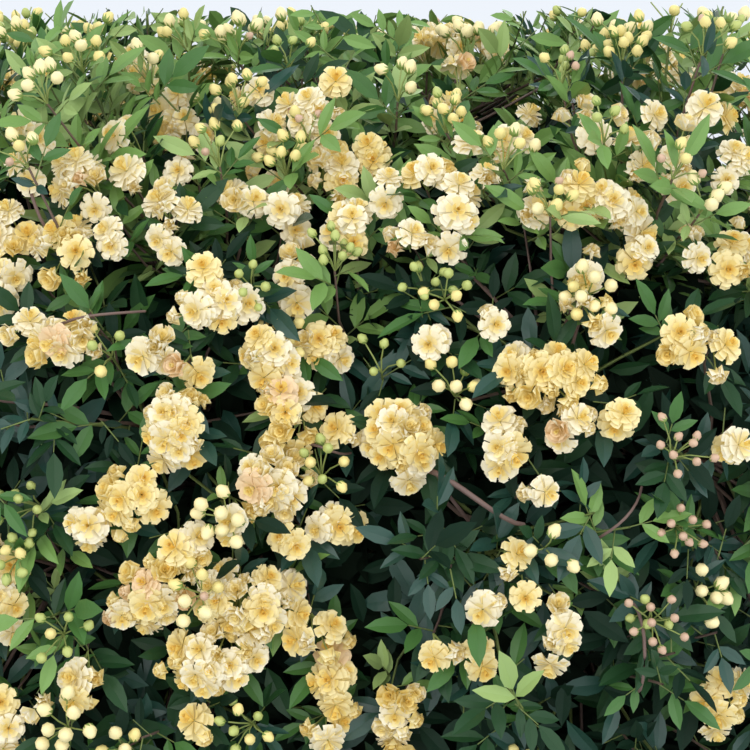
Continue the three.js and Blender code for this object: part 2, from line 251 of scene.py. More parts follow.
def scatter(a, b):
    """A direction for each counter, from -0.5 to 0.5 along each axis."""
    return np.stack([chance(a, b, axis) - 0.5 for axis in (1, 2, 3)], 1)


def unit(v):
    return v / np.maximum(np.linalg.norm(v, axis=-1, keepdims=True), 1e-9)


def laid_out_masses():
    """The masses of growth in rings round the stem: where each one's hub is and its cane enters."""
    made = []
    for ring in RINGS:
        for k in range(ring["count"]):
            angle = -math.pi / 2 + (k + ring["turn"]) / ring["count"] * 2 * math.pi
            out = np.array([math.cos(angle), math.sin(angle), 0])
            across = out * [BUSH_WIDTH / 2, BUSH_DEPTH / 2, 0]
            shift = [2 * HUB_SHIFT * (float(chance(len(made), axis, 5)) - 0.5) for axis in (1, 2)]
            hub = across * (ring["reach"] + shift[0]) + UP * (ring["height"] + shift[1]) * BUSH_HEIGHT
            entry = across * ring["inner"] + UP * ring["entry"] * BUSH_HEIGHT
            name = ring["name"] if ring["count"] == 1 else f"{ring['name']}_{k + 1}"
            made.append(dict(name=name, ring=ring, out=out, hub=hub, entry=entry))
    return made


def between(start, end, t):
    """The place, or the value, at a share t of the way from start to end."""
    return start * (1 - t) + end * t


def bezier(corners, t):
    """Points and directions along cubic curves: four arrays of corners, with a row for each curve."""
    a, b, c, d = (corner[:, None] for corner in corners)
    t = t.reshape(-1, t.shape[-1], 1) if t.ndim > 1 else t[None, :, None]
    s = 1 - t
    points = s**3 * a + 3 * s * s * t * b + 3 * s * t * t * c + t**3 * d
    along = 3 * s * s * (b - a) + 6 * s * t * (c - b) + 3 * t * t * (d - c)
    return points, unit(along)


def tubes(corners, root_radius, tip_radius, sides, steps):
    """Tapered tubes along cubic curves: the points of each tube, and the triangles they all share."""
    t = np.linspace(0, 1, steps + 1)
    points, along = bezier(corners, t)
    rest = np.where(np.abs(along[:, :1, 2:]) > 0.9, [[[1.0, 0, 0]]], [[[0, 0, 1.0]]])
    across = unit(np.cross(along, rest))
    other = np.cross(along, across)
    turn = np.arange(sides) / sides * 2 * math.pi
    radius = between(root_radius, tip_radius, t)
    ring = across[:, :, None] * np.cos(turn)[:, None] + other[:, :, None] * np.sin(turn)[:, None]
    rings = points[:, :, None] + ring * radius[:, None, None]
    faces = []
    for step in range(steps):
        for side in range(sides):
            a = step * sides + side
            b = step * sides + (side + 1) % sides
            faces += [(a, b, b + sides), (a, b + sides, a + sides)]
    return rings.reshape(len(points), sides * (steps + 1), 3), np.array(faces)


def joined(name, batches, slots):
    """One mesh of many copies. A batch is points (copies, n, 3), triangles and their slots."""
    points = []
    faces = []
    shades = []
    start = 0
    for copies, triangles, shade in batches:
        count, size = copies.shape[:2]
        firsts = (start + np.arange(count) * size)[:, None, None]
        points.append(copies.reshape(-1, 3))
        faces.append((triangles[None] + firsts).reshape(-1, 3))
        shades.append(np.broadcast_to(shade, (count, len(triangles))).reshape(-1))
        start += count * size
    points = np.concatenate(points)
    faces = np.concatenate(faces)
    mesh = bpy.data.meshes.new(name)
    mesh.vertices.add(len(points))
    mesh.vertices.foreach_set("co", points.astype(np.float32).reshape(-1))
    mesh.loops.add(faces.size)
    mesh.loops.foreach_set("vertex_index", faces.astype(np.int32).reshape(-1))
    mesh.polygons.add(len(faces))
    mesh.polygons.foreach_set("loop_start", np.arange(0, faces.size, 3, dtype=np.int32))
    for shade in slots:
        mesh.materials.append(shade)
    mesh.polygons.foreach_set("material_index", np.concatenate(shades).astype(np.int32))
    mesh.polygons.foreach_set("use_smooth", np.ones(len(faces), bool))
    mesh.update(calc_edges=True)
    made = bpy.data.objects.new(name, mesh)
    bpy.context.collection.objects.link(made)
    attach(made, "root")
    print(name, len(faces), "triangles")
    return made


masses = laid_out_masses()
hubs = np.array([mass["hub"] for mass in masses])
entries = np.array([mass["entry"] for mass in masses])

leans = np.array([unit(mass["out"] * mass["ring"]["lean"] + UP) for mass in masses])
roots = np.array([mass["out"] * mass["ring"]["foot"] * STEM_RADIUS + UP * STEM_HEIGHT for mass in masses])
feet = roots + leans * STUB_LENGTH
spans = np.linalg.norm(entries - feet, axis=1)[:, None]
cane_corners = [
    feet,
    feet + leans * spans * CANE_LEAVING,
    entries - unit(hubs - entries) * spans * CANE_COMING,
    entries,
]
stub_corners = [between(roots, feet, t) for t in (0, 1 / 3, 2 / 3, 1)]

young_bark = bark_material("young_bark", dark=(84, 74, 50), light=(132, 122, 86), across=220)
stub_radius = CANE_FOOT_RADIUS * STUB_SWELL
stub_points, stub_faces = tubes(stub_corners, stub_radius, CANE_FOOT_RADIUS, CANE_SIDES, STUB_STEPS)
cane_points, cane_faces = tubes(cane_corners, CANE_FOOT_RADIUS, CANE_TIP_RADIUS, CANE_SIDES, CANE_STEPS)
ring_numbers = np.arange(cane_points.shape[1])[None] // CANE_SIDES + 50 * np.arange(len(masses))[:, None]
knobs = KNOB_LEAST + KNOB_SPREAD * chance(ring_numbers, 3, 3)[:, :, None]
middles = cane_points.reshape(len(masses), -1, CANE_SIDES, 3).mean(2).repeat(CANE_SIDES, axis=1)
cane_points = middles + (cane_points - middles) * knobs
cane_batches = [(stub_points, stub_faces, 0), (cane_points, cane_faces, 1)]
canes = joined("bark_canes", cane_batches, [old_bark, young_bark])
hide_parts(*["cane_" + mass["name"] for mass in masses])

# Camera: it stands before the bush at the photograph's angle, a little above it, with a long lens.
# The frame also tells which part of the front the photograph shows, in its pixels.
LENS = 85
SENSOR = 36
VIEW_WIDTH = 0.50
ELEVATION = math.radians(10)
AIM = np.array([0.0, -BUSH_DEPTH / 2, 0.870])
PHOTO_SIDE = 750
PIXEL = VIEW_WIDTH / PHOTO_SIDE
view_distance = VIEW_WIDTH * LENS / SENSOR
ahead = np.array([0, math.cos(ELEVATION), -math.sin(ELEVATION)])
view_up = np.array([0, math.sin(ELEVATION), math.cos(ELEVATION)])
camera_place = AIM - ahead * view_distance

bpy.ops.object.camera_add(location=camera_place, rotation=(math.pi / 2 - ELEVATION, 0, 0))
camera = bpy.context.object
camera.data.lens = LENS
camera.data.sensor_width = SENSOR
bpy.context.scene.camera = camera


def in_photo(points):
    """Where points show in the photograph: pixels from its left and from its top."""
    off = points - camera_place
    scale = PHOTO_SIDE / VIEW_WIDTH * view_distance / np.maximum(1e-3, off @ ahead)
    return PHOTO_SIDE / 2 + off[:, 0] * scale, PHOTO_SIDE / 2 - (off @ view_up) * scale


def view_rays(across, down):
    """Directions from the camera through places in the photograph."""
    right = (np.asarray(across) - PHOTO_SIDE / 2)[:, None] * PIXEL * [1, 0, 0]
    rise = (PHOTO_SIDE / 2 - np.asarray(down))[:, None] * PIXEL * view_up
    return unit(ahead * view_distance + right + rise)


# The mound of growth: where the flowers, buds and leafy shoots end. The canes' masses meet in
# creases, and flowers hang in banks: on the front where the photograph shows them, and elsewhere
# in waves of the same size.
SKIRT_HEIGHT = 0.022
MIDDLE_HEIGHT = 0.42 * BUSH_HEIGHT
PLAN_POWER = 2.5
SIDE_POWER = 3.3
SKIRT_POWER = 5
CREASE_DEPTH = 0.09
CREASE_WIDTH = 0.13 * BUSH_HEIGHT
# Shallow hollows: their depth, and the metres over which they come and go and sway sideways
HOLLOW_DEPTH = 0.07
HOLLOW_ACROSS = 0.072
HOLLOW_UP = 0.08
HOLLOW_BACK = 0.085
HOLLOW_SWAY = 1.3
HOLLOW_SWAY_UP = 0.11
# The crown, from a share of the height, and how far it stands out squarer on both sides of its middle
CROWN_FROM = 0.86
CROWN_OVER = 0.1
CROWN_MOST = 0.75
CROWN_SQUARER = 0.05
SQUARER_FROM = 0.08
SQUARER_TO = 0.46
SQUARER_OVER = 0.14
# Spread over the mound: candidates, the outline's area that they share, and where none may stand
BANK_CANDIDATES = 1640
SHOOT_CANDIDATES = 5600
FULL_AREA = 0.80
FLATTEST_RAY = 0.2
UNDERSIDE = -0.75
LOWEST_SHOOT = 0.045
# Pixels round the photograph that still count as shown, and the metres that sight lines run
FRAME_MARGIN = 12
SIGHT_START = 0.7
SIGHT_REACH = 1.2
# Banks in waves, where the photograph shows none: their waves' metres, shares, and half sizes
WAVE_ACROSS = 0.085
WAVE_BACK = 0.09
WAVE_UP = 0.19
WAVE_SWAY = 0.7
WAVE_SWAY_UP = 0.10
WAVE_MIDDLE = 0.62
WAVE_SWING = 0.9
WAVE_LEAST = 0.08
WAVE_MOST = 0.97
FOOT_SHARE = 0.35
FULL_FROM = 0.6
FOOT_LEAST = 0.45
HALF_LENGTH = 0.030
HALF_LENGTH_MORE = 0.034
HALF_WIDTH = 0.024
HALF_WIDTH_MORE = 0.012
BANK_ABOVE = 0.05
BANK_DROP = 0.15
CROWN_LINE = 90
BEHIND_REACH = 0.1
BEHIND_CROWN = 0.25
# Flowers in a bank: spacing, growth, how far they sink and bulge, and how they face
FRONT_SPACING = 0.0125
BANK_GROWTH = 1.06
SPACING = 0.0168
BANK_BULGE = 0.016
FLOWER_DEPTH = 0.020
FLOWER_SHIFT = 0.007
CROWN_LIFT = 0.014
RIM_TURN = 0.95
FACING_SPREAD = 0.75
NOD = 0.12
CROWN_TURN = 0.6
UMBEL_SIZE = 7
UMBEL_REACH = 0.6
UMBEL_DEPTH = 0.034
UMBEL_RISE = 0.010
# Buds: shares of the shoots and of the banks' rims that end in them
CLEAR_OF_FLOWERS = 0.032
TOP_FROM = 0.5
TOP_BUDS = 0.24
SIDE_BUDS = 0.035
RIM_FROM = 0.8
CROWN_RIM_FROM = 0.45
CROWN_RIM_BUDS = 0.17
FRONT_RIM_BUDS = 0.08
RIM_BUDS = 0.03
RIM_BUD_OUT = 0.010
# Shoots: how they turn up, and how far they stand in or out of the outline
TOP_LIFT = 0.8
SIDE_LIFT = 0.15
SHOOT_SPREAD = 0.8
TALL_LEAST = 0.010
TALL_IN_CREASE = 0.7
TALL_AT_ENDS = 0.034
ENDS_FROM = 0.12
ENDS_OVER = 0.10
LONG_SHARE = 0.16
LONG_REACH = 0.075
LEAFY_DEPTH = 0.034
LEAFY_DEPTH_LESS = 0.040
BUD_DEPTH = 0.030
BUD_DEPTH_LESS = 0.014
# Banks that the photograph shows: across and down to the middle, half length, half width, turn
BANKS_SHOWN = {
    "left shoulder": (
        (78, 175, 36, 22, -40), (60, 246, 28, 33, 0), (112, 232, 18, 13, 0), (24, 124, 16, 12, 0),
    ),
    "left crown": (
        (162, 90, 30, 18, -20), (178, 128, 31, 17, 0), (182, 156, 24, 14, -20), (122, 64, 30, 12, -10),
    ),
    "left slope": (
        (168, 212, 36, 20, 80), (205, 270, 13, 14, 0), (240, 197, 20, 15, 0), (283, 206, 26, 16, -30),
    ),
    "middle crown": (
        (312, 114, 36, 18, -10), (336, 168, 30, 26, 0), (350, 222, 30, 16, -80), (294, 268, 34, 16, 80),
    ),
    "left band": (
        (64, 334, 39, 22, 15), (12, 325, 12, 14, 0), (214, 301, 47, 17, 5), (150, 350, 26, 17, 30),
    ),
    "first garland": (
        (268, 354, 28, 30, 0), (322, 342, 24, 20, 0), (188, 362, 15, 13, 0), (172, 424, 46, 30, 75),
    ),
    "second garland": (
        (286, 408, 44, 28, -80), (274, 486, 37, 31, 0), (124, 502, 36, 29, 50), (176, 554, 36, 14, 30),
    ),
    "third garland": (
        (150, 600, 44, 31, 30), (246, 608, 55, 33, -10), (210, 668, 52, 31, 10), (190, 738, 18, 9, 0),
    ),
    "left foot": (
        (74, 690, 30, 16, 80), (34, 708, 12, 13, 0), (320, 643, 30, 17, 0), (336, 692, 32, 18, -80),
    ),
    "middle foot": (
        (326, 737, 22, 13, 0), (330, 525, 28, 13, -20), (288, 548, 16, 12, 0), (398, 722, 34, 24, 80),
    ),
    "middle clump": (
        (403, 440, 44, 34, -70), (345, 430, 16, 15, 0), (430, 337, 17, 12, 0), (490, 322, 13, 12, 0),
    ),
    "right clump": (
        (552, 374, 54, 30, 0), (575, 424, 24, 25, 0), (508, 444, 34, 14, 85), (592, 305, 32, 19, -50),
    ),
    "right slope": (
        (620, 202, 38, 19, -20), (575, 190, 38, 15, 85), (642, 158, 32, 13, 85), (597, 256, 20, 11, 80),
    ),
    "right crown": (
        (590, 116, 32, 16, 0), (685, 158, 42, 14, 85), (715, 110, 28, 12, 0), (625, 76, 22, 9, -20),
    ),
    "right edge": (
        (738, 160, 18, 20, 0), (743, 248, 16, 36, 0), (650, 250, 18, 13, 0), (697, 240, 14, 22, 0),
    ),
    "middle shoulder": (
        (450, 112, 36, 13, -35), (510, 134, 20, 12, 0), (455, 66, 22, 9, 0), (455, 202, 44, 15, -85),
    ),
    "middle brow": (
        (407, 240, 26, 17, 0), (392, 182, 18, 13, 0), (545, 180, 11, 11, 0), (533, 207, 12, 13, 0),
    ),
    "right hangers": (
        (690, 334, 31, 19, 85), (726, 345, 12, 22, 0), (545, 495, 15, 11, 0), (630, 420, 12, 13, 0),
    ),
    "low right": (
        (512, 566, 20, 9, 85), (486, 612, 13, 12, 0), (528, 596, 9, 8, 0), (566, 640, 36, 15, 80),
    ),
    "crown between": (
        (125, 134, 18, 12, 0), (272, 128, 18, 10, 0), (372, 152, 20, 15, 0), (478, 144, 22, 10, 0),
    ),
    "crown behind": (
        (530, 108, 16, 9, 0), (328, 84, 20, 9, 0), (252, 94, 18, 9, 0), (655, 114, 16, 9, 0),
    ),
    "under crown": (
        (128, 170, 18, 13, 0), (265, 172, 14, 11, 0), (432, 168, 21, 12, 0), (484, 176, 16, 10, 0),
    ),
    "left between": (
        (80, 528, 19, 15, 0), (116, 622, 18, 12, 0), (232, 526, 18, 15, 0), (20, 166, 15, 13, 0),
    ),
    "last few": (
        (440, 655, 15, 15, 0), (478, 668, 13, 14, 0), (735, 712, 38, 18, 75), (743, 452, 10, 15, 0),
    ),
}
# Clusters of buds that the photograph shows, by their look: across and down
BUDS_SHOWN = {
    "green": ((335, 272), (424, 280), (446, 292), (24, 510), (55, 640), (12, 560), (382, 366)),
    "cream": ((458, 392), (550, 553), (60, 735), (228, 520), (240, 120), (60, 130), (110, 108), (505, 160)),
    "high": ((398, 95), (690, 226)),
    "blushed": ((686, 530), (680, 458), (660, 628)),
}


def mound_level(points):
    """1 on the mound's outline, less inside it."""
    x, y, z = np.abs(points - UP * MIDDLE_HEIGHT).T
    above = points[:, 2] > MIDDLE_HEIGHT
    half_height = np.where(above, BUSH_HEIGHT - MIDDLE_HEIGHT, MIDDLE_HEIGHT - SKIRT_HEIGHT)
    power = np.where(above, SIDE_POWER, SKIRT_POWER)
    plan = (x / (BUSH_WIDTH / 2)) ** PLAN_POWER + (y / (BUSH_DEPTH / 2)) ** PLAN_POWER
    return (plan ** (power / PLAN_POWER) + (z / half_height) ** power) ** (1 / power)


def mound_normal(points):
    steps = 0.002 * np.eye(3)
    return unit(np.stack([mound_level(points + step) - mound_level(points - step) for step in steps], 1))


def crease_depth(points):
    """How far the outline is drawn in along the creases between the masses."""
    away = np.sort(np.linalg.norm(points[:, None] - hubs[None], axis=2), axis=1)
    edge = np.minimum(1, (away[:, 1] - away[:, 0]) / CREASE_WIDTH)
    return CREASE_DEPTH * (1 - edge) ** 2


def outline_level(points):
    """The outline: drawn in along creases and shallow hollows, but a little squarer on the crown."""
    x, y, z = points.T
    sway = HOLLOW_SWAY * np.sin(z / HOLLOW_SWAY_UP)
    hollow = 0.5 + 0.5 * np.sin(x / HOLLOW_ACROSS + sway) * np.cos(z / HOLLOW_UP + y / HOLLOW_BACK)
    crown = np.clip((z - CROWN_FROM * BUSH_HEIGHT) / (CROWN_OVER * BUSH_HEIGHT), 0, CROWN_MOST)
    squarer = crown * np.clip((np.abs(x) - SQUARER_FROM) / SQUARER_OVER, 0, 1)
    squarer = squarer * np.clip((SQUARER_TO - np.abs(x)) / SQUARER_OVER, 0, 1)
    return 1 - crease_depth(points) - HOLLOW_DEPTH * hollow * (1 - crown) + CROWN_SQUARER * squarer


def nearest_mass(points):
    return np.linalg.norm(points[:, None] - hubs[None], axis=2).argmin(1)


def closed_in(starts, directions, outer, inner, share, rounds):
    """Distances along rays on both sides of the mound's outline, or of a share of it, ever nearer."""
    for _ in range(rounds):
        middle = (outer + inner) / 2
        points = starts + directions * middle[:, None]
        inside = mound_level(points) < share * outline_level(points)
        outer = np.where(inside, outer, middle)
        inner = np.where(inside, middle, inner)
    return outer, inner


def met_mound(starts, directions, reach, steps=100):
    """Where rays from outside first meet the mound, and whether they do."""
    near = np.zeros(len(directions))
    met = np.zeros(len(directions), bool)
    for step in np.linspace(0, reach, steps)[1:]:
        points = starts + directions * step
        met |= mound_level(points) < outline_level(points)
        near = np.where(met, near, step)
    near, _ = closed_in(starts, directions, near, near + reach / (steps - 1), 1, rounds=12)
    return starts + directions * near[:, None], met


def seen_on_mound(across, down):
    """Where sight lines through places in the photograph meet the mound, and whether they do."""
    rays = view_rays(across, down)
    return met_mound(camera_place + rays * SIGHT_START, rays, SIGHT_REACH)


def spread_directions(count):
    """Directions spread evenly by the golden angle."""
    j = np.arange(count)
    z = 1 - (2 * j + 1) / count
    flat = np.sqrt(1 - z * z)
    return np.stack([flat * np.cos(j * GOLDEN_ANGLE), flat * np.sin(j * GOLDEN_ANGLE), z], 1)


def spread_points(candidates, share, seed):
    """Points spread over the mound at a share of its outline: places, normals and numbers."""
    directions = spread_directions(candidates)
    middle = UP * MIDDLE_HEIGHT
    outer = np.full(candidates, BUSH_WIDTH)
    _, away = closed_in(middle, directions, outer, np.zeros(candidates), share, rounds=24)
    points = middle + directions * away[:, None]
    normals = mound_normal(points)
    area = away**2 / np.maximum(FLATTEST_RAY, (directions * normals).sum(1))
    kept = (chance(np.arange(candidates), seed, 2) < area / FULL_AREA) & (normals[:, 2] > UNDERSIDE)
    kept &= points[:, 2] > LOWEST_SHOOT
    return points[kept], normals[kept], np.flatnonzero(kept)


def shown(points, normals):
    """Whether places on the mound lie in the part that the photograph shows."""
    across, down = in_photo(points)
    faces_camera = (unit(camera_place - points) * normals).sum(1) > 0
    within = np.abs(across - PHOTO_SIDE / 2) < PHOTO_SIDE / 2 + FRAME_MARGIN
    return faces_camera & within & (down < PHOTO_SIDE + FRAME_MARGIN)


def disc(count, phase):
    """Places spread over a disc of radius 1 by the golden angle, with their distance from its middle."""
    i = np.arange(count)
    r = np.sqrt((i + 0.5) / count)
    turn = i * GOLDEN_ANGLE + phase
    return r * np.cos(turn), r * np.sin(turn), r


def bank_in_photo(across, down, half_long, half_wide, turn):
    """A bank that the photograph shows: how many flowers it has, and how its places meet the mound."""
    half_long = half_long * BANK_GROWTH
    half_wide = half_wide * BANK_GROWTH
    count = max(1, round(math.pi * half_long * half_wide * (PIXEL / FRONT_SPACING) ** 2))
    c = math.cos(math.radians(turn))
    s = math.sin(math.radians(turn))

    def met(x, y):
        x = x * half_long
        y = y * half_wide
        return seen_on_mound(across + x * c - y * s, down - x * s - y * c)

    return count, met


def bank_in_wave(centre, normal, seed):
    """A bank elsewhere, which hangs down the slope: its flowers, and how its places meet the mound."""
    slope = unit(normal * normal[2] - UP + 1e-3 * scatter(np.array([seed]), 9)[0])
    level = np.cross(normal, slope)
    half_long = HALF_LENGTH + HALF_LENGTH_MORE * chance(seed, 9, 4)
    half_wide = HALF_WIDTH + HALF_WIDTH_MORE * chance(seed, 9, 5)
    count = max(1, round(math.pi * half_long * half_wide / SPACING**2))

    def met(x, y):
        off = slope * (x * half_long)[:, None] + level * (y * half_wide)[:, None]
        directions = np.broadcast_to(-normal, off.shape)
        return met_mound(centre + off + normal * BANK_ABOVE, directions, BANK_DROP, steps=30)

    return count, met


def wave_places():
    """The middles of the banks in waves, with their normals and numbers."""
    centres, normals, seeds = spread_points(BANK_CANDIDATES, 1, 7)
    x, y, z = centres.T
    wave = np.sin(x / WAVE_ACROSS + WAVE_SWAY * np.sin(z / WAVE_SWAY_UP))
    wave = wave * np.cos(y / WAVE_BACK + z / WAVE_UP)
    likely = np.clip(WAVE_MIDDLE + WAVE_SWING * wave, WAVE_LEAST, WAVE_MOST)
    likely = likely * np.clip(FOOT_SHARE + z / FULL_FROM, FOOT_LEAST, 1)
    # Just behind the crown that the photograph shows, leaves and buds stand over the flowers
    across, down = in_photo(centres)
    behind = (np.abs(across - PHOTO_SIDE / 2) < PHOTO_SIDE / 2) & (down < CROWN_LINE) & (y < BEHIND_REACH)
    likely = np.where(behind, likely * BEHIND_CROWN, likely)
    kept = (chance(seeds, 8, 8) < likely) & ~shown(centres, normals)
    return zip(centres[kept], normals[kept], seeds[kept])


def stacked(rows):
    """Rows of arrays, joined column by column."""
    return [np.concatenate(column) for column in zip(*rows)]


def laid_banks():
    """Every bank's flowers and umbels: places, rim shares and bank numbers for both."""
    banks = [bank_in_photo(*bank) for row in BANKS_SHOWN.values() for bank in row]
    banks += [bank_in_wave(*place) for place in wave_places()]
    flowers = []
    umbels = []
    for number, (count, met_at) in enumerate(banks):
        umbel_count = math.ceil(count / UMBEL_SIZE)
        for kind, many, share in ((flowers, count, 1), (umbels, umbel_count, UMBEL_REACH)):
            x, y, r = disc(many, number)
            points, met = met_at(x * share, y * share)
            kind.append((points[met], r[met], np.full(met.sum(), number)))
    return stacked(flowers), stacked(umbels)


(flower_seats, flower_rims, flower_banks), (umbel_seats, _, umbel_banks) = laid_banks()
flower_normals = mound_normal(flower_seats)
umbel_normals = mound_normal(umbel_seats)
flower_numbers = np.arange(len(flower_seats))
jitter = scatter(flower_numbers, 21)
flower_crowns = np.clip(flower_normals[:, 2:], 0, 1)
depth = FLOWER_DEPTH - BANK_BULGE * (1 - flower_rims[:, None] ** 2) - CROWN_LIFT * flower_crowns
flower_places = flower_seats - flower_normals * depth + jitter * FLOWER_SHIFT
bank_count = int(flower_banks.max()) + 1
bank_sizes = np.maximum(1, np.bincount(flower_banks, minlength=bank_count))[:, None]
bank_sums = [np.bincount(flower_banks, flower_seats[:, axis], bank_count) for axis in range(3)]
bank_middles = np.stack(bank_sums, 1) / bank_sizes
outward = flower_seats - bank_middles[flower_banks]
outward = outward - flower_normals * (outward * flower_normals).sum(1)[:, None]
flower_facings = flower_normals + RIM_TURN * unit(outward) * flower_rims[:, None]
flower_facings = flower_facings + FACING_SPREAD * jitter - UP * NOD
# On the crown, flowers and leaves turn outwards too, to the light at its sides
flower_outs = unit(flower_seats * [1, 1, 0])
flower_facings = unit(flower_facings + CROWN_TURN * flower_outs * flower_crowns)

# Each flower grows from the nearest umbel of its own bank: those of others count as far away
umbel_places = umbel_seats - umbel_normals * UMBEL_DEPTH + UP * UMBEL_RISE
away = np.linalg.norm(flower_seats[:, None] - umbel_seats[None], axis=2)
away += BUSH_WIDTH * (flower_banks[:, None] != umbel_banks[None])
flower_umbels = away.argmin(1)

seats, seat_normals, seat_numbers = spread_points(SHOOT_CANDIDATES, 1, 1)
near_flower = np.array([np.linalg.norm(flower_seats - seat, axis=1).min() for seat in seats])
kept = near_flower > CLEAR_OF_FLOWERS
seats, seat_normals, seat_numbers = seats[kept], seat_normals[kept], seat_numbers[kept]
bud_share = np.where(seat_normals[:, 2] > TOP_FROM, TOP_BUDS, SIDE_BUDS)
has_buds = chance(seat_numbers, 1, 2) < bud_share
shown_looks = [look for look, places in BUDS_SHOWN.items() for _ in places]
shown_seats, met = seen_on_mound(*np.concatenate(list(BUDS_SHOWN.values())).T)
front_share = np.where(flower_normals[:, 2] > CROWN_RIM_FROM, CROWN_RIM_BUDS, FRONT_RIM_BUDS)
rim_share = np.where(shown(flower_seats, flower_normals), front_share, RIM_BUDS)
has_rim_buds = (flower_rims > RIM_FROM) & (chance(flower_numbers, 31, 1) < rim_share)
rim_seats = (flower_seats + unit(outward) * RIM_BUD_OUT)[has_rim_buds]
bud_seats = np.concatenate([seats[has_buds], shown_seats[met], rim_seats])
bud_normals = mound_normal(bud_seats)
any_look = ["any"]
bud_looks = any_look * int(has_buds.sum()) + list(np.array(shown_looks)[met]) + any_look * len(rim_seats)
bud_looks = np.array(bud_looks)
leafy_seats = seats[~has_buds]
leafy_normals = seat_normals[~has_buds]

FLOWERING, BUDDING, LEAFY = 0, 1, 2
shoot_kinds = np.repeat([FLOWERING, BUDDING, LEAFY], [len(umbel_seats), len(bud_seats), len(leafy_seats)])
shoot_seats = np.concatenate([umbel_seats, bud_seats, leafy_seats])
shoot_normals = np.concatenate([umbel_normals, bud_normals, leafy_normals])
shoot_numbers = np.arange(len(shoot_seats))
shoot_scatter = scatter(shoot_numbers, 2)
is_top = shoot_normals[:, 2] > TOP_FROM
lift = np.where(is_top, TOP_LIFT, SIDE_LIFT)
shoot_axes = unit(shoot_normals + SHOOT_SPREAD * shoot_scatter + UP * lift[:, None])
# Shoots stand tall along the crown, most of all in its creases and towards its rounded ends
tall = TALL_LEAST + TALL_IN_CREASE * crease_depth(shoot_seats) * BUSH_DEPTH / 2
tall += TALL_AT_ENDS * np.clip((np.abs(shoot_seats[:, 0]) - ENDS_FROM) / ENDS_OVER, 0, 1)
tall = np.where(is_top, tall, 0)
is_long = (shoot_kinds == LEAFY) & (chance(shoot_numbers, 2, 8) < LONG_SHARE)
tall = tall + np.where(is_long, LONG_REACH * chance(shoot_numbers, 2, 9), 0)
leafy_depth = LEAFY_DEPTH - LEAFY_DEPTH_LESS * chance(shoot_numbers, 2, 7) - tall
bud_depth = BUD_DEPTH - BUD_DEPTH_LESS * chance(shoot_numbers, 2, 7) - tall
depth = np.select([shoot_kinds == LEAFY, shoot_kinds == BUDDING], [leafy_depth, bud_depth], UMBEL_DEPTH)
shoot_tips = shoot_seats - shoot_normals * depth[:, None]
shoot_tips[: len(umbel_places)] = umbel_places
shoot_owners = nearest_mass(shoot_seats)

# Twigs: branches fan out in each mass from its cane's end, side shoots leave them for the outline,
# and flowers, buds and leaves stand on slim stalks. Bark is brown on old twigs and green on young.
BRANCHES = 11
BRANCH_REACH = 0.55
BRANCH_STEP = 0.01
OWN_LEVEL = 0.9
# Radii at the root and at the tip
BRANCH_RADII = (0.0050, 0.0024)
LIMB_RADII = (CANE_TIP_RADIUS, 0.005)
SHOOT_RADII = (0.0021, 0.0010)
PEDICEL_RADII = (0.0008, 0.0007)
BUD_STALK_RADII = (0.0008, 0.0006)
LEAF_STALK_RADII = (0.0007, 0.0005)
TWIG_BEND = 0.05
BENT_OUT_AT = 0.35
BENT_BACK_AT = 0.7
LIMB_CORNERS = (0, 0.3, 0.7, 1)
LEAF_STALK_CORNERS = (0, 0.35, 0.65, 1)
# Just under three, so that a share of it never reaches a fourth bark
SHOOT_BARKS = 2.999
PEDICEL_SINK = 0.003
PEDICEL_OUT = 0.02
PEDICEL_UP = 0.006
NUMBERS_PER_SHOOT = 11
BUDS_LEAST = 4
BUDS_MOST = 9
BUD_SPREAD = math.radians(50)
BUD_STALK = 0.020
BUD_STALK_MORE = 0.014
BUD_TURN = 6
# Leaves up a shoot, from its tip down, and the metres from one to the next
LEAVES_ON = {FLOWERING: (3, 0.008), BUDDING: (3, 0.008), LEAFY: (4, 0.013)}
TALL_SHOOT = 0.016
LEAVES_MORE = 5
STEP_MORE = 0.011
STEP_FROM = 0.2
STEP_SPREAD = 0.6
LOWEST_ON_SHOOT = 0.3
LEAF_TURN = 6.28
LEAF_OUT = 0.35
LEAF_OUT_MORE = 0.5
LEAF_RISE_ON_TOP = 0.35
LEAF_RISE_ON_SIDES = -0.15
# Leaves face outwards and up, and on the crown more to the light at its sides
FACE_OUT = 0.8
FACE_UP = 0.7
CROWN_FACE_LESS = 0.6
CROWN_FACE_ASIDE = 0.9
LEAF_STALK = 0.020
LEAF_STALK_LEAST = 0.8
LEAF_STALK_MORE = 0.5
TWIG_SINK = 0.03
ROOM_ROUND = 0.031
LOWEST_LEAF = 0.003
SKIN_RELIEF_DEPTH = 0.001
# Bare twigs that the photograph shows before the leaves: both ends, across and down, and radius
TWIGS_SHOWN = (
    ((425, 470), (530, 530), 0.0022),
    ((31, 328), (134, 300), 0.0013),
    ((14, 167), (48, 233), 0.0015),
    ((645, 612), (651, 705), 0.0014),
    ((602, 548), (655, 490), 0.0012),
    ((300, 445), (350, 452), 0.0012),
)
TWIG_TAPER = 0.8
CROOK = np.array([0.004, 0.0, 0.006])
CROOK_AT = 0.2


def fine_relief_group():
    """A fine noise for the relief of skins: bark of twigs, leaves and petals."""
    group, given, out = node_group("fine_relief", ["Scale"], ["Height"])
    place = group.nodes.new("ShaderNodeTexCoord")
    noise = group.nodes.new("ShaderNodeTexNoise")
    noise.inputs["Detail"].default_value = 3
    group.links.new(place.outputs["Object"], noise.inputs["Vector"])
    group.links.new(given.outputs["Scale"], noise.inputs["Scale"])
    group.links.new(noise.outputs["Fac"], out.inputs["Height"])
    return group


# Painted light: the golden light that petals give off themselves, in place of light through a thin petal
PAINTED_GLOW_COLOUR = linear(232, 196, 98)


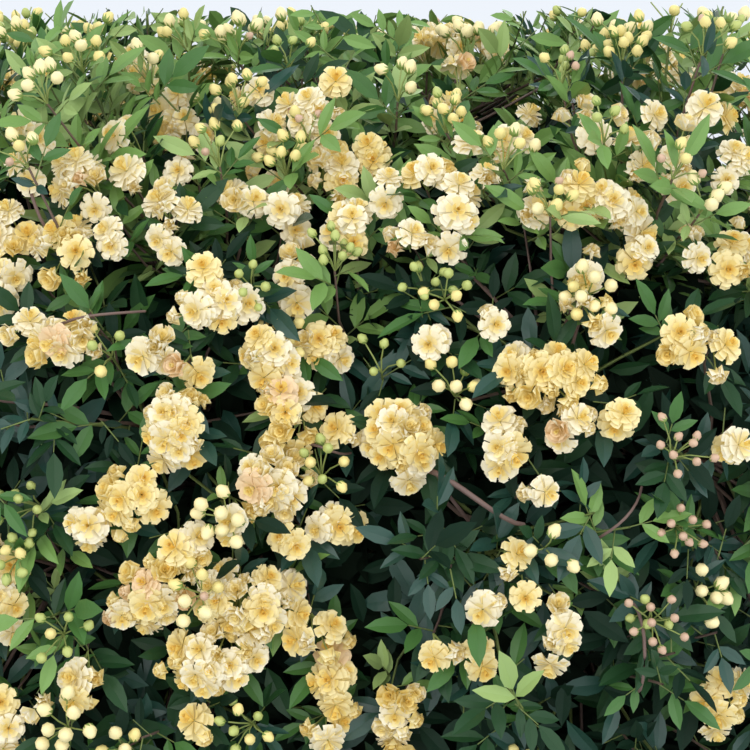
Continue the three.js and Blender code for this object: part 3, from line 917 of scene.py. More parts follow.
def skin_material(name, colour, roughness, scale, strength, specular=0.5, painted_glow=0.0):
    """A plain colour, which stays sharp on small leaves and petals, with a fine relief.

    Painted light: the skin gives off a faint golden light of its own, in place of the light that comes
    through a thin petal from behind.
    """
    made, tree, shader = new_material(name, roughness)
    shader.inputs["Base Color"].default_value = linear(*colour)
    shader.inputs["Specular IOR Level"].default_value = specular
    shader.inputs["Emission Color"].default_value = PAINTED_GLOW_COLOUR
    shader.inputs["Emission Strength"].default_value = painted_glow
    skin = tree.nodes.new("ShaderNodeGroup")
    skin.node_tree = fine_relief
    skin.inputs["Scale"].default_value = scale
    add_relief(tree, shader, skin.outputs["Height"], strength, SKIN_RELIEF_DEPTH)
    return made


def branch_ends_of(index):
    """Where a mass's branches end: partway from its hub to the edge of its own space."""
    directions = spread_directions(BRANCHES)
    reach = np.full(BRANCHES, 2 * BRANCH_STEP)
    for _ in range(30):
        further = hubs[index] + directions * (reach + BRANCH_STEP)[:, None]
        own = (nearest_mass(further) == index) & (mound_level(further) < OWN_LEVEL)
        reach = np.where(own, reach + BRANCH_STEP, reach)
    return hubs[index] + directions * (reach * BRANCH_REACH)[:, None]


def curve_corners(roots, leaving, tips, arriving, lengths, leave, arrive):
    """Corners of a curve that leaves its root one way and comes to its tip another."""
    return [roots, roots + leaving * lengths * leave, tips - arriving * lengths * arrive, tips]


def side_and_other(directions):
    """Two directions at right angles to each one given."""
    side = unit(np.cross(directions, UP + 0.01))
    return side, np.cross(side, directions)


fine_relief = fine_relief_group()
# Each twig's skin: colour, roughness, scale and strength of its relief
TWIG_SLOTS = [
    skin_material("twig_brown", (112, 92, 80), 0.7, 300, 0.5),
    skin_material("twig_mauve", (116, 94, 86), 0.65, 300, 0.4),
    skin_material("twig_green", (112, 128, 68), 0.55, 400, 0.3),
    skin_material("stalk_green", (150, 164, 92), 0.5, 500, 0.2),
]
BROWN, MAUVE, GREEN, STALK = range(4)

# Groups of masses whose twigs, leaves, buds and petals are joined, and where each ring's front ends
GROUPS = ("low_front", "low_back", "high_front", "high_back", "top")
FRONT_TO = {"low": 0.02, "high": -0.02}


def group_of(mass):
    ring = mass["ring"]["name"]
    if ring in FRONT_TO:
        ring += "_front" if mass["hub"][1] < FRONT_TO[ring] else "_back"
    return GROUPS.index(ring)


group_of_mass = np.array([group_of(mass) for mass in masses])
nodes_of_group = [
    ["foliage_" + mass["name"] for i, mass in enumerate(masses) if group_of_mass[i] == number]
    for number in range(len(GROUPS))
]


def within_reach(copies):
    """Which copies stay in the solids' box, with a little room round it, and above the ground."""
    low = np.array(cad_box[0]) - ROOM_ROUND
    high = np.array(cad_box[1]) + ROOM_ROUND
    low[2] = LOWEST_LEAF
    return ((copies > low) & (copies < high)).all((1, 2))


def pieces_by_group(kind, batches, slots):
    """Joins batches (copies, faces, slots, group of each copy) into one piece for each group."""
    for number, group in enumerate(GROUPS):
        own = []
        for copies, faces, shade, where in batches:
            kept = (where == number) & within_reach(copies)
            shade = np.broadcast_to(shade, (len(copies), len(faces)))
            own.append((copies[kept], faces, shade[kept]))
        piece = joined(kind + "_" + group, own, slots)
        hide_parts(*nodes_of_group[number])


branch_ends = np.array([branch_ends_of(index) for index in range(len(masses))])
away = np.linalg.norm(branch_ends[shoot_owners] - shoot_tips[:, None], axis=2)
shoot_roots = branch_ends[shoot_owners, away.argmin(1)]
shoot_spans = np.linalg.norm(shoot_tips - shoot_roots, axis=1)[:, None]
leaving = unit(shoot_roots - hubs[shoot_owners])
shoot_corners = curve_corners(
    shoot_roots, leaving, shoot_tips, shoot_axes, shoot_spans, leave=0.35, arrive=0.3
)
shoot_corners[1] = shoot_corners[1] + shoot_scatter * TWIG_BEND
shoot_groups = group_of_mass[shoot_owners]
shoot_points, shoot_faces = tubes(shoot_corners, *SHOOT_RADII, sides=3, steps=4)
shoot_shade = np.floor(chance(shoot_numbers, 4, 1) * SHOOT_BARKS).astype(int)[:, None]
twig_batches = [(shoot_points, shoot_faces, shoot_shade, shoot_groups)]

fans = hubs.repeat(BRANCHES, axis=0)
ends = branch_ends.reshape(-1, 3)
bend = scatter(np.arange(len(ends)), 3) * TWIG_BEND
bent = [between(fans, ends, BENT_OUT_AT) + bend, between(fans, ends, BENT_BACK_AT) - bend]
branch_corners = [fans, *bent, ends]
branch_points, branch_faces = tubes(branch_corners, *BRANCH_RADII, sides=5, steps=4)
twig_batches.append((branch_points, branch_faces, BROWN, group_of_mass.repeat(BRANCHES)))
limb_corners = [between(entries, hubs, t) for t in LIMB_CORNERS]
limb_points, limb_faces = tubes(limb_corners, *LIMB_RADII, sides=8, steps=4)
twig_batches.append((limb_points, limb_faces, BROWN, group_of_mass))

for start, end, radius in TWIGS_SHOWN:
    ends, _ = seen_on_mound(*np.array([start, end]).T)
    sunk = ends - mound_normal(ends) * TWIG_SINK
    first = ends[:1]
    last = ends[1:]
    bent = [between(first, last, CROOK_AT) + CROOK, between(first, last, 1 - CROOK_AT) - CROOK]
    corners = [sunk[:1], *bent, sunk[1:]]
    twig_points, twig_faces = tubes(corners, radius, radius * TWIG_TAPER, sides=6, steps=8)
    where = group_of_mass[nearest_mass((first + last) / 2)]
    twig_batches.append((twig_points, twig_faces, MAUVE, where))

pedicel_roots = umbel_places[flower_umbels]
pedicel_ends = flower_places - flower_facings * PEDICEL_SINK
pedicel_lengths = np.linalg.norm(pedicel_ends - pedicel_roots, axis=1)[:, None]
pedicel_starts = pedicel_ends - pedicel_roots + umbel_normals[flower_umbels] * PEDICEL_OUT
pedicel_starts = unit(pedicel_starts + UP * PEDICEL_UP)
pedicel_corners = curve_corners(
    pedicel_roots, pedicel_starts, pedicel_ends, flower_facings, pedicel_lengths, leave=0.4, arrive=0.3
)
pedicel_points, pedicel_faces = tubes(pedicel_corners, *PEDICEL_RADII, sides=3, steps=2)
flower_groups = group_of_mass[nearest_mass(flower_seats)]
twig_batches.append((pedicel_points, pedicel_faces, STALK, flower_groups))

budding = np.flatnonzero(shoot_kinds == BUDDING)
bud_counts = BUDS_LEAST + np.floor((BUDS_MOST - BUDS_LEAST + 1) * chance(budding, 12, 1))
bud_side, bud_other = side_and_other(shoot_axes[budding])
buds = []
for k in range(BUDS_MOST):
    own = np.flatnonzero(k < bud_counts)
    site = budding[own]
    polar = (BUD_SPREAD * np.sqrt((k + 0.5) / bud_counts[own]))[:, None]
    azimuth = (k * GOLDEN_ANGLE + BUD_TURN * chance(site, 12, 2))[:, None]
    ray = shoot_axes[site] * np.cos(polar)
    ray = ray + (bud_side[own] * np.cos(azimuth) + bud_other[own] * np.sin(azimuth)) * np.sin(polar)
    reach = (BUD_STALK + BUD_STALK_MORE * chance(site * NUMBERS_PER_SHOOT + k, 12, 3))[:, None]
    tip = shoot_tips[site]
    end = tip + ray * reach
    corners = curve_corners(tip, shoot_axes[site], end, ray, reach, leave=0.4, arrive=0.35)
    stalk_points, stalk_faces = tubes(corners, *BUD_STALK_RADII, sides=3, steps=2)
    twig_batches.append((stalk_points, stalk_faces, STALK, shoot_groups[site]))
    buds.append((end, ray, site))
bud_places, bud_axes, bud_shoots = stacked(buds)

leaf_steps = [
    (np.flatnonzero(shoot_kinds == kind), k, step)
    for kind, (count, step) in LEAVES_ON.items()
    for k in range(count)
]
further = LEAVES_ON[LEAFY][0] + np.arange(LEAVES_MORE)
leaf_steps += [(np.flatnonzero(tall > TALL_SHOOT), k, STEP_MORE) for k in further]
leaves = []
for site, k, step in leaf_steps:
    side, other = side_and_other(shoot_axes[site])
    back = (k + STEP_FROM + STEP_SPREAD * chance(site, 5, k)) * step
    t = np.clip(1 - back / shoot_spans[site, 0], LOWEST_ON_SHOOT, 1)
    point, _ = bezier([corner[site] for corner in shoot_corners], t[:, None])
    turn = (k * GOLDEN_ANGLE + LEAF_TURN * chance(site, 5, 40))[:, None]
    radial = side * np.cos(turn) + other * np.sin(turn)
    out = LEAF_OUT + LEAF_OUT_MORE * chance(site, 6, k)[:, None]
    rise = np.where(is_top[site][:, None], LEAF_RISE_ON_TOP, LEAF_RISE_ON_SIDES)
    along = radial + out * shoot_normals[site] + UP * rise
    crown = np.clip(shoot_normals[site, 2:], 0, 1)
    facing = (shoot_normals[site] * FACE_OUT + UP * FACE_UP) * (1 - CROWN_FACE_LESS * crown)
    facing = facing + CROWN_FACE_ASIDE * crown * unit(shoot_seats[site] * [1, 1, 0])
    number = site * NUMBERS_PER_SHOOT + k
    leaves.append((point[:, 0], unit(along), unit(facing + scatter(number, 7)), site, number))
leaf_roots, leaf_alongs, leaf_facings, leaf_shoots, leaf_numbers = stacked(leaves)
stalk_lengths = LEAF_STALK * (LEAF_STALK_LEAST + LEAF_STALK_MORE * chance(leaf_numbers, 1, 7))
leaf_ends = leaf_roots + leaf_alongs * stalk_lengths[:, None]
leaf_corners = [between(leaf_roots, leaf_ends, t) for t in LEAF_STALK_CORNERS]
stalk_points, stalk_faces = tubes(leaf_corners, *LEAF_STALK_RADII, sides=3, steps=1)
twig_batches.append((stalk_points, stalk_faces, GREEN, shoot_groups[leaf_shoots]))
pieces_by_group("twigs", twig_batches, TWIG_SLOTS)

# Leaves: three or five narrow glossy leaflets on a slim stalk. Old leaves are dark, some darker still
# in painted shade, and some bluish, partly their own blue-green and partly a painted reflection of the
# sky; the season's shoots carry fresh yellow-green ones. Deeper in, older leaves fill the bush.
LEAFLET_LENGTH = 0.0305
LEAFLET_HALF_WIDTH = 0.185
LEAFLET_FOLD = 0.045
LEAFLET_DROOP = 0.10
# Widths of a leaflet's rows, from its root to its tip
LEAFLET_ROWS = {1: 0.84, 2: 1.0, 3: 0.72}
DEEP_ROWS = {1: 1.3}
# Leaflets of a leaf: how far along its stalk, which side, and size; a leaf of three has no small ones
LEAFLETS = ((1.0, 0, 1.0), (0.62, 1, 0.82), (0.55, -1, 0.82), (0.2, 1, 0.66), (0.12, -1, 0.66))
SMALL_LEAFLET = 0.7
FIVE_SHARE = 0.28
SIDE_LEAFLET_TURN = 1.1
LEAFLET_HANG = 0.12
LEAFLET_LEAST = 0.72
LEAFLET_MORE = 0.6
LEAFLET_TWIST = 0.2
LEAFLET_TILT = 0.6
# Filling leaves lean out a little, and stand upright on the crown
FILL_OUT = 0.25
FILL_OUT_ON_CROWN = 0.9
FILL_UPRIGHT = 0.7
FILL_LEAST = 0.75
FILL_MORE = 0.4
# A point this near a row or a rib is one of its own
NEAR = 0.01
FLOWER_ROOM = 0.012
FRESH_SHARE = 0.12
FRESH_ON_LEAFY = 0.05
FRESH_ON_TOP = 0.56
LEAF_GRAIN = 160


def triangles_of_active():
    """The active object's points and triangles; the object is then removed."""
    made = bpy.context.object
    made.data.calc_loop_triangles()
    points = np.array([vertex.co[:] for vertex in made.data.vertices])
    triangles = np.array([triangle.vertices[:] for triangle in made.data.loop_triangles])
    bpy.data.objects.remove(made)
    return points, triangles


def leaflet_form(rows):
    """A leaflet of length 1 along +Y, shaped row by row from a grid, folded and split at its rib."""
    last = max(rows) + 1
    bpy.ops.object.select_all(action="DESELECT")
    bpy.ops.mesh.primitive_grid_add(x_subdivisions=2, y_subdivisions=last, size=1, location=(0, 0.5, 0))
    bpy.ops.object.transform_apply(location=True)
    for row, width in rows.items():
        middle = row / last
        select_where(lambda place: abs(place.y - middle) < NEAR)
        bpy.ops.transform.resize(value=(width * LEAFLET_HALF_WIDTH * 2, 1, 1), center_override=(0, 0, 0))
        select_where(lambda place: abs(place.y - middle) < NEAR < abs(place.x))
        bpy.ops.transform.translate(value=(0, 0, LEAFLET_FOLD * width - LEAFLET_DROOP * middle**2))
        select_where(lambda place: abs(place.y - middle) < NEAR > abs(place.x))
        bpy.ops.transform.translate(value=(0, 0, -LEAFLET_DROOP * middle**2))
    for end in (0, 1):
        select_where(lambda place: abs(place.y - end) < NEAR)
        bpy.ops.mesh.merge(type="CENTER")
        bpy.ops.transform.translate(value=(0, 0, -LEAFLET_DROOP * end))
    select_where(lambda place: abs(place.x) < NEAR)
    bpy.ops.mesh.select_mode(type="EDGE")
    bpy.ops.mesh.edge_split(type="EDGE")
    bpy.ops.object.mode_set(mode="OBJECT")
    return triangles_of_active()


def turned(along, facing):
    """Rotations that take +Y to along and +Z towards facing."""
    along = unit(along)
    across = unit(np.cross(along, facing))
    return np.stack([across, along, np.cross(across, along)], 2)


def copies_of(form, turns, sizes, places):
    return np.einsum("mij,nj->mni", turns, form) * sizes[:, None, None] + places[:, None]


def clear_of_flowers(copies):
    """Which leaflets have their middle and their tip outside every flower."""
    middles = copies.mean(1)
    tips = copies[:, leaflet_points[:, 1].argmax()]
    return np.array([
        flower_tree.find(middle)[2] > FLOWER_ROOM and flower_tree.find(tip)[2] > FLOWER_ROOM
        for middle, tip in zip(middles, tips)
    ])


def filling_leaves(candidates, share, spread, lift, length, seed):
    """Leaves round the mound at a share of its outline: along its sides, and standing up on its crown."""
    points, normals, numbers = spread_points(candidates, share, seed)
    side, other = side_and_other(normals)
    spin = (2 * math.pi * chance(numbers, 2, seed))[:, None]
    crown = np.clip(normals[:, 2:], 0, 1)
    along = side * np.cos(spin) + other * np.sin(spin) + normals * (FILL_OUT + FILL_OUT_ON_CROWN * crown)
    turns = turned(along, normals * (1 - FILL_UPRIGHT * crown) + (1 + crown) * scatter(numbers, seed + 4))
    places = points + normals * (lift * crown[:, 0] - spread * chance(numbers, 1, seed))[:, None]
    return turns, length * (FILL_LEAST + FILL_MORE * chance(numbers, 4, seed)), places, numbers


def dealt(pick, steps):
    """Slots dealt out by share: each step says up to which pick it goes, and its slot."""
    return np.select([pick < limit for limit, slot in steps], [slot for limit, slot in steps])


leaflet_points, leaflet_faces = leaflet_form(LEAFLET_ROWS)
deep_points, deep_faces = leaflet_form(DEEP_ROWS)
# Each leaf's skin: colour, roughness, scale and strength of its relief, and sheen
LEAF_SLOTS = [
    skin_material("leaf_shadow", (20, 31, 22), 0.7, LEAF_GRAIN, 0.2, 0.05),
    skin_material("leaf_shaded", (21, 44, 30), 0.5, LEAF_GRAIN, 0.3, 0.12),
    # Bluish leaves: a blue-green that is partly the leaf's own and partly a painted reflection of the sky
    skin_material("leaf_bluish_painted_sky", (39, 73, 61), 0.34, LEAF_GRAIN, 0.3, 0.45),
    skin_material("leaf_deep", (35, 68, 38), 0.38, LEAF_GRAIN, 0.3, 0.25),
    skin_material("leaf_mid", (69, 110, 54), 0.38, LEAF_GRAIN, 0.3, 0.3),
    skin_material("leaf_fresh", (115, 151, 79), 0.40, LEAF_GRAIN, 0.3, 0.3),
    skin_material("leaf_young", (151, 176, 106), 0.42, LEAF_GRAIN, 0.3, 0.3),
]
SHADOW, SHADED, BLUISH_PAINTED_SKY, DEEP, MID, FRESH, YOUNG = range(7)
OLD_SHADES = ((0.2, SHADED), (0.52, BLUISH_PAINTED_SKY), (0.76, DEEP), (1, MID))
NEW_SHADES = ((0.2, DEEP), (0.5, MID), (0.85, FRESH), (1, YOUNG))
INNER_SHADES = ((0.5, SHADED), (0.75, DEEP), (1, BLUISH_PAINTED_SKY))
# Crown leaves are dealt the paler shades: partly its young growth, partly painted sky light on the top
TOP_PALER_YOUNG_AND_SKY_LIT = 0.4

pick = chance(leaf_numbers, 9, 9)
fresh_share = FRESH_SHARE + FRESH_ON_LEAFY * (shoot_kinds == LEAFY) + FRESH_ON_TOP * is_top
is_fresh = chance(leaf_shoots, 8, 8) < fresh_share[leaf_shoots]
# Paler leaves on the crown: young growth, and painted sky light
pick = np.where(is_top[leaf_shoots], TOP_PALER_YOUNG_AND_SKY_LIT + (1 - TOP_PALER_YOUNG_AND_SKY_LIT) * pick, pick)
leaf_shade = np.where(is_fresh, dealt(pick, NEW_SHADES), dealt(pick, OLD_SHADES))
has_five = chance(leaf_numbers, 2, 7) < FIVE_SHARE
leaf_side = unit(np.cross(leaf_alongs, leaf_facings))
leaf_batches = []
flower_tree = KDTree(len(flower_places))
for number, place in enumerate(flower_places):
    flower_tree.insert(place, number)
flower_tree.balance()
for place_on, side_turn, size in LEAFLETS:
    own = np.flatnonzero(has_five) if size < SMALL_LEAFLET else np.arange(len(has_five))
    place = between(leaf_roots[own], leaf_ends[own], place_on)
    along = unit(leaf_alongs[own] + leaf_side[own] * SIDE_LEAFLET_TURN * side_turn - UP * LEAFLET_HANG)
    twist = scatter(leaf_numbers[own], 30 + round(10 * place_on))
    length = LEAFLET_LENGTH * size * (LEAFLET_LEAST + LEAFLET_MORE * chance(leaf_numbers[own], 4, 7))
    turns = turned(along + LEAFLET_TWIST * twist, leaf_facings[own] + LEAFLET_TILT * twist)
    copies = copies_of(leaflet_points, turns, length, place)
    kept = clear_of_flowers(copies)
    where = shoot_groups[leaf_shoots[own[kept]]]
    leaf_batches.append((copies[kept], leaflet_faces, leaf_shade[own[kept]][:, None], where))

# Older leaves close behind the shoots, and broad shaded ones deeper in, which shut out the light
turns, lengths, places, numbers = filling_leaves(
    29000, share=0.88, spread=0.045, lift=0, length=0.039, seed=3
)
shade = dealt(chance(numbers, 5, 3), INNER_SHADES)[:, None]
where = group_of_mass[nearest_mass(places)]
leaf_batches.append((copies_of(leaflet_points, turns, lengths, places), leaflet_faces, shade, where))
turns, lengths, places, _ = filling_leaves(68000, share=0.75, spread=0.08, lift=0.08, length=0.058, seed=5)
where = group_of_mass[nearest_mass(places)]
leaf_batches.append((copies_of(deep_points, turns, lengths, places), deep_faces, SHADOW, where))
pieces_by_group("leaves", leaf_batches, LEAF_SLOTS)

# Buds: round and tight, green at first and then yellow, in a green cup of sepals, and some blushed
# with pink. They stand in open clusters on slim stalks, most of them along the top of the bush.
BUD_RADIUS = 0.0047
BUD_STRETCH = 1.22
BUD_TIP = 0.80
BUD_TIP_FROM = 0.5
SEPALS_TO = -0.4


def bud_form():
    """A ball of radius 1 drawn out to a blunt point along +Y, and which of its faces are sepals."""
    bpy.ops.object.select_all(action="DESELECT")
    bpy.ops.mesh.primitive_uv_sphere_add(segments=8, ring_count=4, radius=1)
    select_where(lambda place: True)
    bpy.ops.transform.resize(value=(1, 1, BUD_STRETCH))
    bpy.ops.transform.rotate(value=math.pi / 2, orient_axis="X", center_override=(0, 0, 0))
    select_where(lambda place: place.y > BUD_TIP_FROM)
    bpy.ops.transform.resize(value=(BUD_TIP, 1, BUD_TIP), center_override=(0, 0, 0))
    bpy.ops.object.mode_set(mode="OBJECT")
    points, faces = triangles_of_active()
    return points, faces, points[faces].mean(1)[:, 1] < SEPALS_TO


bud_points, bud_faces, is_sepal = bud_form()
BUD_COLOURS = {
    "sepal_green": (132, 156, 78),
    "bud_green": (184, 194, 112),
    "bud_yellow": (238, 220, 142),
    "bud_cream": (247, 231, 172),
    "bud_blush": (206, 172, 144),
}
BUD_SLOTS = [
    skin_material(name, colour, roughness=0.5, scale=300, strength=0.2)
    for name, colour in BUD_COLOURS.items()
]
SEPAL, UNRIPE, YELLOW, CREAM, BLUSH = range(5)
# The share of buds that fade to blush, and ages at which a bud turns from green and from yellow
FADED_SHARE = 0.22
FADED_SPREAD = 0.4
GREEN_UNTIL = 0.38
YELLOW_UNTIL = 0.66
AGE_OF_SHOOT = 0.65
GREEN_AGES = 0.5
CREAM_FROM = 0.4
FADED_SIZE = 0.72
BUD_LEAST = 0.70
BUD_GROWTH = 0.5
BUD_TILT = 1.1
numbers = np.arange(len(bud_places))
age = AGE_OF_SHOOT * chance(bud_shoots, 14, 1) + (1 - AGE_OF_SHOOT) * chance(numbers, 14, 2)
look = bud_looks[bud_shoots - len(umbel_seats)]
older = CREAM_FROM + (1 - CREAM_FROM) * age
age = np.select([look == "green", np.isin(look, ["cream", "high"])], [GREEN_AGES * age, older], age)
faded = chance(bud_shoots, 14, 3) + FADED_SPREAD * chance(numbers, 14, 4) < FADED_SHARE
faded = np.where(look == "any", faded, look == "blushed")
body = np.select([faded, age < GREEN_UNTIL, age < YELLOW_UNTIL], [BLUSH, UNRIPE, YELLOW], CREAM)
shade = np.where(is_sepal[None], SEPAL, body[:, None])
radii = BUD_RADIUS * np.where(faded, FADED_SIZE, BUD_LEAST + BUD_GROWTH * age)
turns = turned(bud_axes + BUD_TILT * scatter(numbers, 18), scatter(numbers, 15))
copies = copies_of(bud_points, turns, radii, bud_places)
pieces_by_group("buds", [(copies, bud_faces, shade, shoot_groups[bud_shoots])], BUD_SLOTS)

# Flowers: double rosettes of up to three dozen thin ruffled petals, cream at the rim and golden
# towards the heart. Some are wide pom-poms, some half closed cups. They crowd into hanging banks.
FLOWER_RADIUS = 0.0134
# Whorls from the outside in: petals, half way out and up, tip out and up, half widths, tone
WHORLS = {
    "pompom": (
        (8, 0.60, 0.02, 1.00, -0.16, 0.26, 0.26, 0),
        (8, 0.54, 0.18, 0.90, 0.12, 0.26, 0.26, 0),
        (6, 0.44, 0.30, 0.72, 0.34, 0.27, 0.27, 0),
        (5, 0.32, 0.40, 0.50, 0.50, 0.22, 0.22, 1),
        (4, 0.14, 0.44, 0.28, 0.60, 0.17, 0.17, 2),
        (3, 0.05, 0.46, 0.09, 0.66, 0.13, 0.13, 3),
    ),
    "full": (
        (8, 0.62, 0.00, 0.92, -0.38, 0.28, 0.28, 0),
        (7, 0.58, 0.18, 0.96, -0.04, 0.29, 0.29, 0),
        (7, 0.48, 0.34, 0.84, 0.26, 0.26, 0.26, 0),
        (5, 0.34, 0.44, 0.62, 0.50, 0.24, 0.24, 1),
        (4, 0.18, 0.50, 0.36, 0.68, 0.19, 0.19, 2),
        (3, 0.05, 0.54, 0.11, 0.76, 0.14, 0.14, 3),
    ),
    "cup": (
        (5, 0.62, 0.20, 0.74, 0.72, 0.44, 0.38, 0),
        (5, 0.56, 0.32, 0.56, 0.88, 0.40, 0.30, 0),
        (4, 0.38, 0.42, 0.32, 0.94, 0.30, 0.24, 1),
        (3, 0.16, 0.48, 0.13, 0.92, 0.18, 0.14, 2),
    ),
    "globe": (
        (5, 0.80, 0.34, 0.56, 1.02, 0.54, 0.42, 0),
        (5, 0.66, 0.42, 0.34, 1.16, 0.48, 0.34, 0),
        (3, 0.34, 0.60, 0.14, 1.20, 0.26, 0.20, 1),
    ),
}
# Each variant's whorls, and its size beside a flower that is wide open
VARIANTS = (
    ("pompom", 1.0), ("full", 1.0), ("cup", 0.86), ("pompom", 1.0), ("full", 1.0), ("globe", 0.66),
    ("pompom", 0.94), ("globe", 0.58),
)


def petal_form(steps):
    """A flat petal: its points' rows, 0 at the root and 2 at the tip, their sides and its triangles.

    A wide outer petal has two steps from root to tip, and a small inner one is a fan of one step.
    """
    bpy.ops.object.select_all(action="DESELECT")
    bpy.ops.mesh.primitive_grid_add(x_subdivisions=2, y_subdivisions=steps, size=2, location=(0, 1, 0))
    bpy.ops.object.transform_apply(location=True)
    select_where(lambda place: place.y < NEAR)
    bpy.ops.mesh.merge(type="CENTER")
    if steps == 2:
        select_where(lambda place: abs(place.y - 1) < NEAR > abs(place.x))
        bpy.ops.mesh.dissolve_verts()
    bpy.ops.object.mode_set(mode="OBJECT")
    points, triangles = triangles_of_active()
    return np.round(points[:, 1]).astype(int), np.round(points[:, 0]), triangles


outer_petal = petal_form(2)
inner_petal = petal_form(1)
OUTER_WHORLS = {"pompom": 1, "full": 1, "cup": 2, "globe": 2}
# How much petals differ, how their tips ruffle and bend in, and how far their sides stand up
REACH_SPREAD = 0.12
RISE_SPREAD = 0.10
TURN_SPREAD = 0.3
RUFFLE = 0.05
RUFFLE_SPREAD = 0.06
TIP_TWIST = 0.08
TIP_BEND = 0.09
SIDE_RISE = 0.10
PETAL_ROOT = 0.03
WHORL_TURN = 0.4
# A triangle whose corners' rows add up to more than this is at the tip, and the others are a tone deeper
ROOT_ROWS = 3


def flower_form(kind, variant):
    """Points, triangles and each triangle's tone for a flower of radius 1 that faces +Y."""
    points = []
    faces = []
    tones = []
    start = 0
    for number, whorl in enumerate(WHORLS[kind]):
        count, mid_out, mid_up, tip_out, tip_up, mid_half, tip_half, tone = whorl
        petal_rows, petal_sides, petal_faces = outer_petal if number < OUTER_WHORLS[kind] else inner_petal
        for k in range(count):
            seeds = [variant * 97 + number * 13 + k, variant * 89 + number * 7 + k * 3]
            r = scatter(np.array(seeds), 17).ravel()
            reach = 1 + REACH_SPREAD * r[0]
            rise = RISE_SPREAD * r[1]
            out = np.choose(petal_rows, [PETAL_ROOT, mid_out * reach, tip_out * reach])
            up = np.choose(petal_rows, [0.0, mid_up + rise / 2, tip_up + rise])
            across = petal_sides * np.choose(petal_rows, [0, mid_half, tip_half])
            middle_ruffle = RUFFLE + RUFFLE_SPREAD * r[2]
            ruffle = np.where(petal_sides == 0, middle_ruffle, TIP_TWIST * r[3] * petal_sides)
            up = up + ruffle * (petal_rows == 2) + SIDE_RISE * (petal_rows == 1) * abs(petal_sides)
            out = out - TIP_BEND * (petal_rows == 2) * abs(petal_sides)
            turn = 2 * math.pi * (k + 0.5 * (number % 2) + TURN_SPREAD * r[4]) / count + WHORL_TURN * number
            x = out * math.cos(turn) - across * math.sin(turn)
            z = out * math.sin(turn) + across * math.cos(turn)
            faces.append(petal_faces + start)
            start += len(petal_rows)
            points.append(np.stack([x, up, z], 1))
            tones.append(np.where(petal_rows[petal_faces].sum(1) > ROOT_ROWS, tone, tone + 1))
    return np.concatenate(points), np.concatenate(faces), np.concatenate(tones)


# Petals give off a faint painted light of their own, in place of the light that comes through them
PETAL_PAINTED_GLOW = 0.085
# Petal colours from the palest rim to the deepest heart, and the blush of a fading flower
PETAL_COLOURS = {
    "petal_ivory": (238, 232, 208),
    "petal_cream": (237, 224, 172),
    "petal_butter": (237, 219, 148),
    "petal_yellow": (236, 211, 125),
    "petal_golden": (234, 199, 101),
    "petal_amber": (231, 185, 78),
    "petal_blush": (233, 209, 174),
}
DEEPEST = 5
BLUSHED = 6
BLUSHED_TONES = 2
PETAL_SLOTS = [
    skin_material(name, colour, roughness=0.6, scale=260, strength=0.2, specular=0.3, painted_glow=PETAL_PAINTED_GLOW)
    for name, colour in PETAL_COLOURS.items()
]
WARMTH_SPREAD = 1.1
# Flowers on the crown are dealt paler tones: painted sky light on the top of the bush
CROWN_PAINTED_SKY_LIGHT = 0.9
BLUSHED_SHARE = 0.018
FLOWER_SINK = 0.004
FLOWER_LEAST = 0.88
FLOWER_MORE = 0.26
# Just under one, so that a share of the variants never reaches one too many
JUST_UNDER = 0.9999
variants = [flower_form(name, v) for v, (name, _) in enumerate(VARIANTS)]
variant_of = np.floor(chance(flower_numbers, 15, 1) * len(variants) * JUST_UNDER).astype(int)
warmth = WARMTH_SPREAD * chance(flower_banks, 15, 2) + WARMTH_SPREAD * chance(flower_numbers, 15, 3)
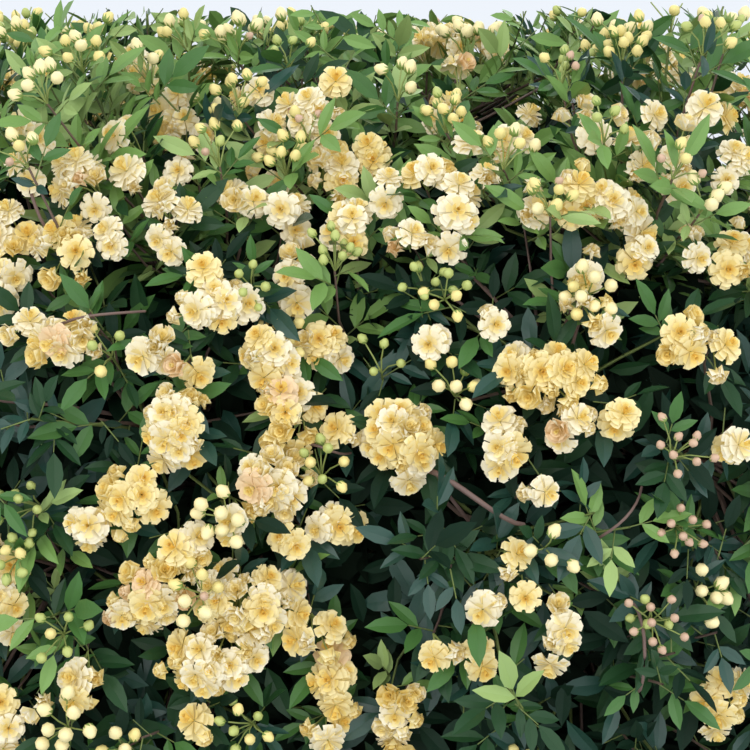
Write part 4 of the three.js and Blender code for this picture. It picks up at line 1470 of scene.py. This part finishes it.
# Less warmth on the crown: painted sky light that makes its flowers paler
warmth = np.floor(np.maximum(0, warmth - CROWN_PAINTED_SKY_LIGHT * flower_crowns[:, 0])).astype(int)
is_blushed = chance(flower_numbers, 15, 5) < BLUSHED_SHARE
petal_batches = []
for v, (form, faces, tones) in enumerate(variants):
    own = np.flatnonzero(variant_of == v)
    shade = np.clip(tones[None] + warmth[own][:, None], 0, DEEPEST)
    shade = np.where(is_blushed[own][:, None] & (tones[None] < BLUSHED_TONES), BLUSHED, shade)
    size = FLOWER_RADIUS * VARIANTS[v][1] * (FLOWER_LEAST + FLOWER_MORE * chance(own, 15, 6))
    turns = turned(flower_facings[own], scatter(own, 16))
    base = flower_places[own] - flower_facings[own] * FLOWER_SINK
    petal_batches.append((copies_of(form, turns, size, base), faces, shade, flower_groups[own]))
pieces_by_group("petals", petal_batches, PETAL_SLOTS)

# Studio: a plain pale floor, an even soft sky, and four large soft lights: the main one high on the
# left, a broad one in front, a weak one on the right and one behind, as on an open day in the shade
SKY_COLOUR = (0.88, 0.93, 1.0, 1)
SKY_STRENGTH = 0.98
bpy.ops.object.select_all(action="DESELECT")
bpy.ops.mesh.primitive_plane_add(size=12, location=(0, 0, 0))
floor = bpy.context.object
floor.name = "floor"
pale = skin_material("floor_pale", (205, 208, 210), roughness=0.9, scale=40, strength=0.1)
floor.data.materials.append(pale)


def soft_light(name, place, aim, size, watts, colour):
    bpy.ops.object.light_add(type="AREA", location=place)
    lamp = bpy.context.object
    lamp.name = name
    lamp.data.size = size
    lamp.data.energy = watts
    lamp.data.color = colour
    lamp.rotation_euler = (Vector(aim) - Vector(place)).to_track_quat("-Z", "Y").to_euler()


soft_light("key_light", (-1.8, -2.8, 3.2), (0, 0, 0.6), size=3.6, watts=50, colour=(1.0, 0.96, 0.90))
soft_light("front_light", (0.8, -4.2, 1.8), (0, 0, 0.6), size=5.0, watts=72, colour=(0.99, 0.98, 0.98))
soft_light("fill_light", (2.6, -1.6, 2.0), (0, 0, 0.6), size=2.5, watts=14, colour=(0.94, 0.97, 1.0))
soft_light("back_light", (0.6, 2.8, 3.0), (0, 0, 0.7), size=2.4, watts=38, colour=(0.95, 0.97, 1.0))
bpy.context.scene.view_settings.view_transform = "Standard"
sky = bpy.data.worlds.new("sky")
sky.use_nodes = True
sky.node_tree.nodes["Background"].inputs["Color"].default_value = SKY_COLOUR
sky.node_tree.nodes["Background"].inputs["Strength"].default_value = SKY_STRENGTH
bpy.context.scene.world = sky
